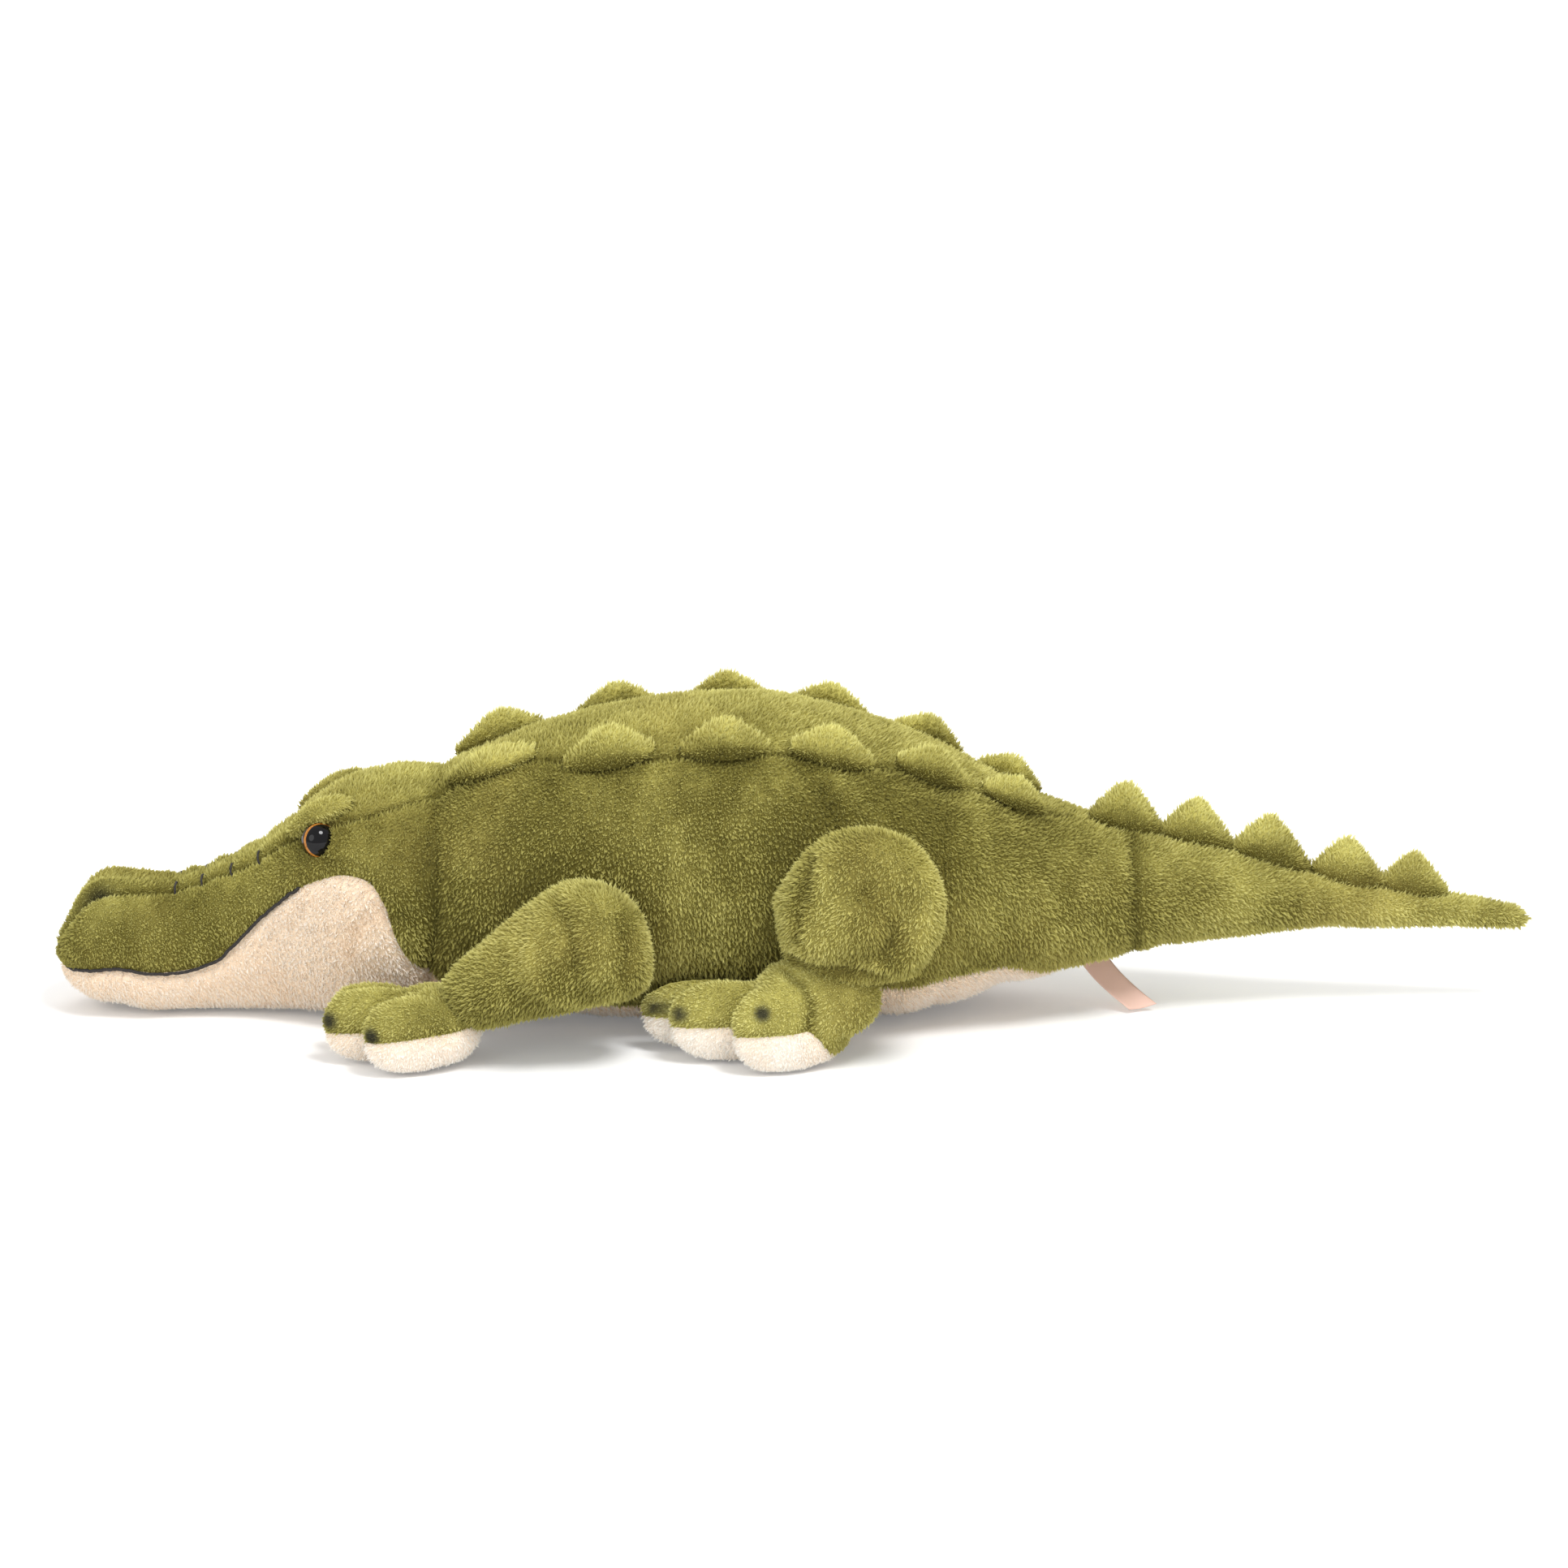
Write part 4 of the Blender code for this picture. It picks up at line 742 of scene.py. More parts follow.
def copied(net, points, shape, rotation, radius, height):
    """Real copies of a shape at points, turned and given a radius and a height."""
    scale = net.node("ShaderNodeCombineXYZ", 0, {"X": radius, "Y": radius, "Z": height})
    sockets = {"Points": points, "Instance": shape, "Rotation": rotation, "Scale": scale}
    copies = net.node("GeometryNodeInstanceOnPoints", 0, sockets)
    return net.node("GeometryNodeRealizeInstances", 0, {"Geometry": copies})


def fur_tree():
    """Tufts of pile: scattered, gathered into clumps, leaning along the nap."""
    net, given = new_tree("plush_pile", (
        ("Density", "Float", 2.0e6), ("Seed", "Int", 1), ("Pile Length", "Float", 0.0028),
        ("Tuft Radius", "Float", 0.0003), ("Lean", "Float", 0.9), ("Clump Spacing", "Float", 0.0018),
        ("Clump Pull", "Float", 0.6), ("Stray", "Float", 0.22),
    ))
    cloth = given["Geometry"]

    def named(label, kind="FLOAT"):
        return net.node("GeometryNodeInputNamedAttribute", "Attribute", {"Name": label}, data_type=kind)

    def store(geometry, label, value, kind="FLOAT", domain="POINT"):
        sockets = {"Geometry": geometry, "Name": label, "Value": value}
        return net.node("GeometryNodeStoreNamedAttribute", "Geometry", sockets, data_type=kind, domain=domain)

    pile = named("pile")
    scatter = net.node("GeometryNodeDistributePointsOnFaces", "Points", {
        "Mesh": cloth, "Selection": pile.math("GREATER_THAN", 0.08),
        "Density": given["Density"], "Seed": given["Seed"],
    })
    clumps = net.node("GeometryNodeDistributePointsOnFaces", "Points", {
        "Mesh": cloth, "Distance Min": given["Clump Spacing"], "Density Max": 1.2e6,
        "Seed": given["Seed"] + 5.0,
    }, distribute_method="POISSON")
    clump = net.node("GeometryNodeSampleNearest", "Index", {"Geometry": clumps})
    here = net.node("GeometryNodeInputPosition")
    sockets = {"Geometry": clumps, "Value": here, "Index": clump}
    middle = net.node("GeometryNodeSampleIndex", "Value", sockets, data_type="FLOAT_VECTOR")
    toward = net.vector("SUBTRACT", middle, here)

    direction = scatter.out("Normal")
    back, on = (-1, -1, -1), (1, 1, 1)
    for way, amount in (
        (named("nap", "FLOAT_VECTOR"), given["Lean"] * random(net, 0.7, 1.3, 9, clump)),
        (toward, given["Clump Pull"] / given["Pile Length"]),
        (random(net, back, on, 6), given["Stray"]),
        (random(net, back, on, 7, clump), given["Stray"]),
    ):
        direction = net.vector("ADD", direction, net.vector("SCALE", way, Scale=amount))
    turn = net.node("ShaderNodeCombineXYZ", 0, {"Z": random(net, 0.0, 6.283, 8)})
    spin = net.node("FunctionNodeEulerToRotation", 0, {0: turn})
    aim = net.node("FunctionNodeAlignRotationToVector", 0, {"Rotation": spin, "Vector": direction}, axis="Z")

    gap = (net.vector("LENGTH", toward, out="Value") / given["Clump Spacing"]).math("MINIMUM", 1.0)
    size = random(net, 0.72, 1.18, 3, clump) * random(net, 0.78, 1.12, 4)
    tall = size * (pile * given["Pile Length"]) * (1.18 - gap * 0.62)
    # random tone of each clump and tuft, darker towards the clump's edge as painted shade between the clumps
    hue = random(net, 0.30, 0.62, 11, clump) + random(net, 0.05, 0.45, 12)
    points = store(scatter, "shade", hue - gap * 0.66)
    points = store(points, "root_uv", named("OFBake", "FLOAT_VECTOR"), "FLOAT_VECTOR")

    sockets = {"Vertices": 3, "Radius Top": 0.0, "Radius Bottom": 1.0, "Depth": 1.0}
    cone = net.node("GeometryNodeMeshCone", "Mesh", sockets, fill_type="NONE")
    tuft = store(cone, "spread", here, "FLOAT_VECTOR")
    tuft = store(tuft, "tip", net.node("ShaderNodeSeparateXYZ", "Z", {0: here}))
    tufts = copied(net, points, tuft, aim, given["Tuft Radius"], tall)
    spread = net.vector("MULTIPLY", named("spread", "FLOAT_VECTOR"), (0.0012, 0.0012, 0.0))
    rooted = net.vector("ADD", named("root_uv", "FLOAT_VECTOR"), spread)
    tufts = store(tufts, "OFBake", rooted, "FLOAT2", "CORNER")
    # the skin between the tufts takes the lowest shade: painted shade deep in the pile
    whole = net.node("GeometryNodeJoinGeometry", 0, {0: [tufts, store(cloth, "shade", 0.0)]})
    for label in ("nap", "pile", "root_uv", "spread"):
        whole = net.node("GeometryNodeRemoveAttribute", "Geometry", {"Name": label, "Geometry": whole})
    return close_tree(net, whole, given["Material"])


def stitch_tree():
    """Thread along a path: overlapping stitches, each laid a little astray."""
    net, given = new_tree("thread_stitches", (
        ("Stitch Length", "Float", 0.0024), ("Thread Radius", "Float", 0.0006),
        ("Overlap", "Float", 1.5), ("Wander", "Float", 0.0002), ("Seed", "Int", 1),
    ))
    length = given["Stitch Length"]
    path = net.node("GeometryNodeMeshToCurve", 0, {"Mesh": given["Geometry"]})
    even = net.node("GeometryNodeResampleCurve", 0, {"Curve": path, "Length": length}, mode="LENGTH")
    astray = net.vector("SCALE", random(net, (-1, -1, -1), (1, 1, 1), given["Seed"]), Scale=given["Wander"])
    moved = net.node("GeometryNodeSetPosition", 0, {"Geometry": even, "Offset": astray})
    sockets = {"Vector": net.node("GeometryNodeInputTangent")}
    aim = net.node("FunctionNodeAlignRotationToVector", 0, sockets, axis="Z")
    ball = net.node("GeometryNodeMeshUVSphere", 0, {"Segments": 8, "Rings": 6, "Radius": 1.0})
    stitches = copied(net, moved, ball, aim, given["Thread Radius"], length * given["Overlap"] * 0.5)
    return close_tree(net, stitches, given["Material"])


def baked(obj, tree, values):
    """Run a tree on a piece with its inputs set, and keep the result as a plain mesh."""
    modifier = obj.modifiers.new(tree.name, "NODES")
    modifier.node_group = tree
    for item in tree.interface.items_tree:
        if item.in_out == "INPUT" and item.name in values:
            modifier[item.identifier] = values[item.name]
    graph = bpy.context.evaluated_depsgraph_get()
    mesh = bpy.data.meshes.new_from_object(obj.evaluated_get(graph))
    obj.modifiers.clear()
    bare = obj.data
    obj.data = mesh
    bpy.data.meshes.remove(bare)
    mesh.name = obj.name
    return obj


def sewn(name, paths, material, length, radius, overlap, wander, seed):
    """Stitches along several paths, as one piece of the head."""
    mesh = bpy.data.meshes.new(name)
    edges = []
    start = 0
    for path in paths:
        edges += [(start + i, start + i + 1) for i in range(len(path) - 1)]
        start += len(path)
    mesh.from_pydata([tuple(point) for path in paths for point in path], edges, [])
    obj = baked(laid(name, mesh), bpy.data.node_groups.get("thread_stitches") or stitch_tree(), {
        "Stitch Length": length, "Thread Radius": radius, "Overlap": overlap, "Wander": wander,
        "Seed": seed, "Material": material,
    })
    obj.data.shade_smooth()
    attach(obj, "head")


def grow(obj, material, seed, **changes):
    """Grow pile on a skin and keep the result as a plain mesh."""
    sizes = bpy.context.scene.plush_pile
    baked(obj, bpy.data.node_groups.get("plush_pile") or fur_tree(), {
        "Density": sizes.density, "Pile Length": sizes.length, "Tuft Radius": sizes.radius,
        "Lean": sizes.lean, "Clump Spacing": sizes.clump_spacing, "Clump Pull": sizes.clump_pull,
        "Stray": sizes.stray, "Seed": seed, "Material": material, **changes,
    })
    obj.data.uv_layers.active = obj.data.uv_layers["OFBake"]
    return obj


# Body skins

def dimple(points, gap=0.0009):
    """Press the torso's sides in where the balls of the limbs sit."""
    inside = np.zeros(points.shape[:-1], bool)
    for leg in LEGS.values():
        centre = np.array(leg["centre"])
        flat = (points[..., 0] - centre[0]) ** 2 + (points[..., 2] - centre[2]) ** 2
        share = flat / (leg["radius"] + gap) ** 2
        depth = -centre[1] - (leg["ball"] + gap) * np.sqrt(np.clip(1 - share, 0, 1))
        pressed = (share < 1) & (np.abs(points[..., 1]) > depth)
        points[..., 1] = np.where(pressed, np.sign(points[..., 1]) * depth, points[..., 1])
        inside |= share < 0.62
    return inside


def neck_distance(x, z):
    """Distance behind the fold of the neck, which leans forward as it goes down."""
    return x - NECK_X - 0.003 * smooth(0.02, 0.05, z)


def relief(x, turn, points):
    """How far the stuffed skin stands out or is drawn in, in metres."""
    z = points[..., 2]
    down = turn_from_top(turn)
    row, low = (seam_distance(x, turn, seam) for seam in (ROW_TURN, LOW_TURN))
    torso = smooth(NECK_X - 0.006, NECK_X + 0.006, x)
    out = np.full(x.shape, -SKIN_INSET)
    # the seams, drawn in by their thread
    on_row = 1 - smooth(BACK_END - 0.02, BACK_END, x)
    out -= on_row * (0.0018 + 0.0006 * torso) * bell(row, 0.0022 + 0.0006 * torso)
    out -= 0.0014 * bell(low, 0.0026) * (1 - smooth(BELLY_END - 0.01, BELLY_END + 0.01, x))
    out -= 0.0009 * bell(down * girth(x), 0.003) * smooth(ROOT_X - 0.01, ROOT_X + 0.01, x)
    # the folds at the neck and at the root of the tail
    slack = 0.55 + 0.6 * smooth(0.095, 0.045, z)
    fold = neck_distance(x, z)
    out -= slack * (0.0026 * bell(fold, 0.0028) + 0.0020 * bell(fold, 0.011))
    out += slack * 0.0012 * bell(fold - 0.016, 0.008) * smooth(0.09, 0.06, z)
    out -= 0.0028 * bell(x - ROOT_X, 0.0034) * smooth(0.1, 0.5, down) * (1 - 0.7 * smooth(2.3, 3.0, down))
    sides = smooth(0.45, 0.9, down)
    for at, depth, wide, tilt in FOLDS:
        shifted = x - at - tilt * (z - 0.06)
        out += depth * (0.5 * bell(shifted + 2.2 * wide, wide * 1.3) - bell(shifted, wide)) * sides
    for folds, share in ((FLANK_FOLDS, torso), (HEAD_FOLDS, 1 - torso)):
        for path, height, wide, _, _ in folds:
            out += height * crease(points, path, wide) * share
    # the lumps of the stuffing
    out += 0.0011 * noise(points, 0.034, 3) + 0.0005 * noise(points, 0.013, 4)
    ridged = noise(points * np.array([1.0, 1.0, 0.35]), 0.016, 6)
    out += 0.0005 * ridged * smooth(0.6, 1.2, down) * torso
    # the muzzle
    for at, along, across, spread, height in HILLS:
        out += height * bell(x - at, along) * bell(row - across, spread)
    bridge = smooth(-0.262, -0.250, x) * (1 - smooth(-0.208, -0.196, x))
    out += 0.0010 * bell(row + 0.0052, 0.0036) * bridge
    out += 0.0040 * bell(x - NOSE_X, 0.012) * bell(z - 0.025, 0.010)
    return out


def shading(x, points, row):
    """Tone of the cloth, lighter above zero: painted light on the heights, painted shade in the seams,
    creases and folds and under the scutes.
    """
    z = points[..., 2]
    tone = np.zeros(x.shape)
    for leg in LEGS.values():
        centre = leg["centre"]
        flat = np.hypot(points[..., 0] - centre[0], z - centre[2])
        # painted shade in the crease round the seats of the legs
        tone -= 0.20 * bell(flat - leg["radius"], 0.010) * (np.abs(points[..., 1]) > 0.03)
    # painted light on the tops and painted shade low down, and lighter cloth towards the tail and the nose,
    # from the TONES rows
    for axis, low, high, change, start, end in TONES:
        tone += change * smooth(low, high, (x, None, z)[axis]) * ((x > start) & (x < end))
    fold = neck_distance(x, z)
    # painted shade in the fold of the neck and behind it
    tone -= (0.09 + 0.27 * smooth(0.095, 0.045, z)) * bell(fold, 0.0045)
    tone -= 0.10 * bell(fold - 0.012, 0.010) * smooth(0.075, 0.04, z)
    # painted shade at the root of the tail and along the scute seam
    tone -= 0.30 * bell(x - ROOT_X, 0.003)
    tone -= 0.30 * bell(row, 0.0016) * (x < BACK_END)
    torso = (x > NECK_X - 0.001) & (x < ROOT_X)
    # painted shade in the folds, and painted light where a fold's shade is above zero
    for folds, where in ((FLANK_FOLDS, torso), (HEAD_FOLDS, x < NECK_X)):
        for path, _, _, shade, wide in folds:
            tone += shade * crease(points, path, wide) * where
    # painted shadow under the back scutes
    for share, size in BACK_SCUTES:
        tone -= 0.40 * bell(x - place(share), SCUTE_SPREAD * size) * bell(row - 0.0050, 0.0032)
    return tone


def eye_seat(side):
    """Point and outward direction of the skin where an eye sits."""
    x, turn = place(EYE[0]), side * EYE[1] * math.pi
    return surface(x, turn), facing(x, turn)


def body_skin(name, places, upper, lower, columns, side, cloth, seed, wanted, dimpled=False):
    """One sewn panel of the body with its pile, between two lines down its side."""
    x = np.repeat(places[:, None], columns, 1)
    first, last = upper(x), lower(x)
    turn = side * (first + (last - first) * np.linspace(0, 1, columns)[None, :])
    points = surface(x, turn)
    out = facing(x, turn)
    points = points + out * relief(x, turn, points)[..., None]
    for row, end in ((0, NOSE_X), (-1, TIP_X)):
        if abs(places[row] - end) < MERGE_DISTANCE:
            points[row] = points[row].mean(0)
    pressed = dimple(points) if dimpled else np.zeros(x.shape, bool)
    points[..., 2] = np.maximum(points[..., 2], SOLE_LEVEL)
    row, low = (seam_distance(x, turn, seam) for seam in (ROW_TURN, LOW_TURN))
    tone = shading(x, points, row)
    # the pile stops at the eyes and thins at the nostrils, the mouth, the muzzle and the floor
    pile = np.where(pressed, 0.0, 1.0)
    for eye_side in (1, -1):
        away = np.linalg.norm(points - eye_seat(eye_side)[0] + np.array([0.0014, 0.0, 0.0]), axis=-1)
        pile = pile * smooth(0.0054, 0.0074, away)
        # painted shade round the eyes
        tone -= 0.10 * bell(away, 0.012)
    hole = bell(x - NOSTRIL_X, 0.0066) * bell(row + 0.0006, 0.0030)
    pile = pile * (1 - 0.85 * np.clip(hole, 0, 1)) * (1 - 0.25 * smooth(-0.20, -0.27, x))
    pile = pile * (0.45 + 0.55 * smooth(0.001, 0.006, points[..., 2]))
    pile = pile * (1 - 0.6 * bell(np.abs(low), 0.0016) * (x < place(MOUTH_END)))
    material = plush(cloth)
    # the nostril's mark is painted shadow in its hole
    obj = skin(name, points, out, wanted, material, pile=pile, tone=tone, mark=np.clip(1.5 * hole, 0, 1))
    return grow(obj, material, seed)


def spaced(start, end, step):
    """Even places about a step apart."""
    return np.linspace(start, end, max(3, int(round((end - start) / step)) + 1))


def nose_places(end):
    """Places from the nose's pole, close together where it is round."""
    arc = np.linspace(0, math.pi / 2, 14)[:-1]
    front = NOSE_X + NOSE_ROUND * (1 - np.cos(arc))
    return np.concatenate([front, spaced(NOSE_X + NOSE_ROUND, end, HEAD_STEP)])


def tip_places(start):
    """Places up to the pole of the tail's tip."""
    arc = np.linspace(0, math.pi / 2, 8)[1:]
    rear = TIP_X - TIP_ROUND * (1 - np.sin(arc))
    return np.concatenate([spaced(start, TIP_X - TIP_ROUND, GRID_STEP), rear])


def top_line(x):
    return np.zeros(x.shape)


def under_line(x):
    return np.full(x.shape, math.pi)


def side_upper(x):
    return np.where(x <= BACK_END, ROW_TURN(x), 0)


def side_lower(x):
    return np.where(x <= BELLY_END, LOW_TURN(x), math.pi)


def low_wrap(x):
    return 2 * math.pi - LOW_TURN(x)


def row_wrap(x):
    return -ROW_TURN(x)


def mound_points(x, turn, length, thickness, height, lean, profile, peak=0.6, arc=15, narrow=1.15):
    """A stuffed wedge: a lens in plan whose ridge rises to a rounded peak."""
    rows = []
    foot = 0.0022
    rings = 25
    for i in range(rings):
        share = (2 * i / (rings - 1) - 1) * 0.985
        at = x + share * length / 2
        ramp = 1 - math.sqrt(share ** 2 + 0.012)
        wave = math.cos(math.pi * share / 2) ** profile
        rise = height * max((1 - peak) * wave + peak * ramp, 0.0) + 0.0006
        half = thickness / 2 / float(girth(at)) * ((1 - share ** 2) ** 0.7 * 0.94 + 0.06)
        out = facing(at, turn)
        left, right = (surface(at, turn + side * half) - out * foot for side in (-1, 1))
        middle, across = (left + right) / 2, (right - left) / 2
        ring = []
        for angle in (math.pi * j / (arc - 1) for j in range(arc)):
            up = math.sin(angle) ** 0.85
            full = 0.84 + 0.62 * up * (1 - up) ** 0.6
            side = math.copysign(abs(math.cos(angle)) ** narrow, math.cos(angle)) * full
            ring.append(middle - across * side + out * foot * min(1.0, 2 * up) + lean * rise * up)
        rows.append(ring)
    return np.array(rows)


def mound(name, node, points, seed, wanted, tone, pile_length=0.0030, crest_light=0.40):
    """A stuffed wedge with longer pile along its ridge, painted light on its ridge and painted shade along
    its foot, and the solid it stands for.
    """
    height = smooth(points[..., 2].min(), points[..., 2].max(), points[..., 2])
    rim = np.abs(np.linspace(-1, 1, points.shape[1]))[None, :]
    material = plush("green_plush")
    # painted light on the ridge and painted shade along the foot on both sides
    obj = skin(
        name, points, grid_normals(points), wanted, material, pile=0.6 + 0.4 * (1 - rim ** 4),
        tone=tone + crest_light * (height - 0.2) - 0.30 * rim ** 5,
    )
    grow(obj, material, seed, **{"Pile Length": pile_length, "Lean": 0.5})
    return stuffed(obj, (node,))


def stuffed(obj, nodes):
    """Hide the solids a skin stands for."""
    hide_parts(*nodes)
    return obj


def turned(name, profile, origin, direction, steps=48):
    """A profile of radius and height turned round a direction, closed at both ends."""
    tilt = Vector((0, 0, 1)).rotation_difference(Vector(direction)).to_matrix().to_4x4()
    where = Matrix.Translation(origin) @ tilt
    angles = np.linspace(0, 2 * math.pi, steps, endpoint=False)
    rows = [
        [where @ Vector((r * math.cos(a), r * math.sin(a), height)) for a in angles]
        for r, height in profile
    ]
    return outward(grid_mesh(name, np.array(rows), wrap=True, caps=(True, True)), origin)


# Limbs and feet

class Limb:
    """The form of one kind of leg on the left side, made as whole arrays of points."""

    def __init__(self, kind):
        values = LEGS[kind]
        self.centre, self.ankle = np.array(values["centre"]), np.array(values["ankle"])
        self.radius = values["radius"] - values["trim"]
        self.ball, self.outer = values["ball"], values["outer"]
        self.ankle_size, self.hold, self.swells = values["ankle_size"], values["hold"], values["swells"]
        step = self.ankle - self.centre
        self.axis = unit(np.array([step[0], 0.0, step[2]]))
        self.across = unit(np.cross(self.axis, (0.0, 1.0, 0.0)))
        self.reach = float(step @ self.axis)

    def sleeve(self):
        """Rows of points from the top of the thigh or shoulder to inside the foot."""
        dome = -self.radius * np.cos(np.linspace(0, math.pi / 2, 22)[:-1])
        along = np.concatenate([dome, np.linspace(0, self.reach + CUFF_END, 46)])[:, None]
        angle = np.linspace(0, 2 * math.pi, 84, endpoint=False)[None, :]
        ease = smooth(self.hold, 1.0, np.clip(along / self.reach, 0, 1))
        limit = np.where(along < 0, np.sqrt(np.clip(1 - (along / self.radius) ** 2, 0, 1)), 1)
        cuff = np.clip((along - self.reach + CUFF_ROUND) / (CUFF_ROUND + CUFF_END), 0, 1)
        cuff = np.sqrt(1 - 0.85 * cuff ** 2)
        half = self.ankle_size[1] / 2 * ease * cuff
        width = self.radius * limit * (1 - ease) + self.ankle_size[0] / 2 * ease * cuff
        outer = self.outer * limit * (1 - ease) + half
        inner = LIMB_DEPTH * limit * (1 - ease) + half
        drift = self.ankle - self.centre - self.axis * self.reach
        middle = self.centre + self.axis * along[..., None] + drift * ease[..., None]
        sideways = np.sin(angle)
        points = middle + self.across * (width * np.cos(angle))[..., None]
        points[..., 1] -= np.where(sideways > 0, outer, inner) * sideways
        return self.swell(points)

    def swell(self, points):
        """Fuller where the stuffing settles: heading in side view, share and spread."""
        aside = points[..., 0] - self.centre[0]
        above = points[..., 2] - self.centre[2]
        heading = np.arctan2(above, aside)
        growth = np.ones(heading.shape)
        for degrees, share, spread in self.swells:
            away = (heading - math.radians(degrees) + math.pi) % (2 * math.pi) - math.pi
            growth += share * bell(away, math.radians(spread))
        points[..., 0] = self.centre[0] + aside * growth
        points[..., 2] = self.centre[2] + above * growth
        return points

    def inside(self, points):
        """Hold the inner side clear of the body, but for the ball that sits in it."""
        away = (points[..., 0] - self.centre[0]) ** 2 + (points[..., 2] - self.centre[2]) ** 2
        share = np.clip(1 - away / self.radius ** 2, 0, 1)
        wall = np.maximum(-WALL_Y, self.centre[1] + self.ball * np.sqrt(share))
        hidden = points[..., 1] > wall - 0.0008
        points[..., 1] = np.minimum(points[..., 1], wall)
        return hidden


def foot_surface(kind, tilts):
    """Rows of points over the joined lobes of a foot, found outward from its middle."""
    turn = np.linspace(-math.pi, math.pi, FOOT_COLUMNS, endpoint=False)[None, :]
    height, slope, heel = SOLE_EDGES[kind]
    edge = -slope * np.cos(turn) - heel * smooth(0.62, 1.0, -np.cos(turn))
    end = math.copysign(math.pi / 2, tilts.sum())
    tilt = edge + (end - edge) * (tilts / end)[:, None]
    ray = np.stack([np.cos(tilt) * np.cos(turn), np.cos(tilt) * np.sin(turn), np.sin(tilt) + 0 * turn], -1)
    start = np.array([-0.004, 0.0, height])
    low = np.zeros(ray.shape[:2])
    high = np.full(ray.shape[:2], FOOT_REACH)
    for _ in range(FOOT_HALVINGS):
        middle = (low + high) / 2
        point = start + ray * middle[..., None]
        total = np.zeros(middle.shape)
        for centre, size, heading in LOBES[kind]:
            away = point - np.array(centre)
            c, s = math.cos(math.radians(heading)), math.sin(math.radians(heading))
            ahead = away[..., 0] * c + away[..., 1] * s
            aside = away[..., 1] * c - away[..., 0] * s
            flat = np.sqrt((ahead / size[0]) ** 2 + (aside / size[1]) ** 2 + 1e-12)
            rise = np.abs(away[..., 2]) / size[2]
            squared = (flat ** LOBE_POWER + rise ** LOBE_POWER) ** (1 / LOBE_POWER)
            total += np.exp(-LOBE_SHARPNESS * (squared - 1))
        inside = total > 1
        low = np.where(inside, middle, low)
        high = np.where(inside, high, middle)
    return start + ray * low[..., None]


def foot_place(kind, points):
    """Local forward, outward, up to the row frame's left side."""
    foot = LEGS[kind]["foot"]
    return np.stack([foot[0] - points[..., 0], foot[1] - points[..., 1], points[..., 2]], -1)


def press(kind, points):
    """Press the inner side of a foot flat where the flank is, at rest and with the leg raised."""
    centre = LEGS[kind]["centre"]
    lift = math.radians(LEGS[kind]["lift"])
    aside, above = points[..., 0] - centre[0], points[..., 2] - centre[2]
    raised_x = centre[0] + aside * math.cos(lift) + above * math.sin(lift)
    raised_z = centre[2] - aside * math.sin(lift) + above * math.cos(lift)
    side = np.maximum(flank(points[..., 0], points[..., 2]), flank(raised_x, raised_z))
    wall = -side - FLANK_GAP
    touching = points[..., 1] > wall
    points[..., 1] = np.minimum(points[..., 1], wall)
    return touching


def mirror(points):
    """The same on the right side."""
    return points * np.array([1.0, -1.0, 1.0])


def make_foot(kind, side_name, cloth, seed, lower):
    """The green upper of a foot, or its pale sole."""
    tilts = np.linspace(-math.pi / 2, 0.0, 15) if lower else np.linspace(0.0, math.pi / 2, 30)
    local = foot_surface(kind, tilts)
    local[..., 2] = np.maximum(local[..., 2], SOLE_LEVEL)
    points = foot_place(kind, local)
    touching = press(kind, points)
    out = grid_normals(points, True)
    edge = np.linalg.norm(local - local[-1 if lower else 0], axis=-1) + 0.0006 * noise(local, 0.012, 21)
    behind = crease(points, TOE_CREASE, 0.0024) * (kind == "hind") * smooth(0.0, 0.4, -out[..., 1])
    sunk = SKIN_INSET + 0.0009 * bell(edge, 0.0022) + 0.0022 * behind
    points = points + out * (0.0005 * noise(points, 0.013, 22) - sunk)[..., None]
    points[..., 2] = np.maximum(points[..., 2], SOLE_LEVEL)
    pole = 0 if lower else -1
    points[pole] = points[pole].mean(0)
    # painted shade along the drawn-in seam at the edge of the sole
    tone = 0.22 - 0.12 * bell(edge, 0.004)
    if kind == "hind":
        # darker towards the heel, with painted shade in the crease behind the outer toe
        tone = tone + 0.14 - 0.20 * smooth(0.0, 0.008, points[..., 0]) - 0.22 * behind
    mark = np.zeros(edge.shape)
    for spot in () if lower else CLAWS[kind]:
        away = np.linalg.norm(points - foot_place(kind, np.array(spot)), axis=-1)
        nearest = away.min()
        mark = np.maximum(mark, 1 - smooth(nearest + 0.0007, nearest + 0.0042, away))
    pile = np.where(touching, 0.2, 0.72 - 0.25 * mark)
    pile = pile * (0.4 + 0.6 * smooth(0.0008, 0.005, points[..., 2]))
    wanted = (-0.6, 0.0, -0.8) if lower else (-1.0, 0.0, -0.35)
    if side_name == "right":
        points, out = mirror(points), mirror(out)
    material = plush(cloth)
    name = f"{kind}_{side_name}_{'sole' if lower else 'foot'}_skin"
    obj = skin(name, points, out, wanted, material, wrap=True, pile=pile, tone=tone, mark=mark)
    return grow(obj, material, seed)


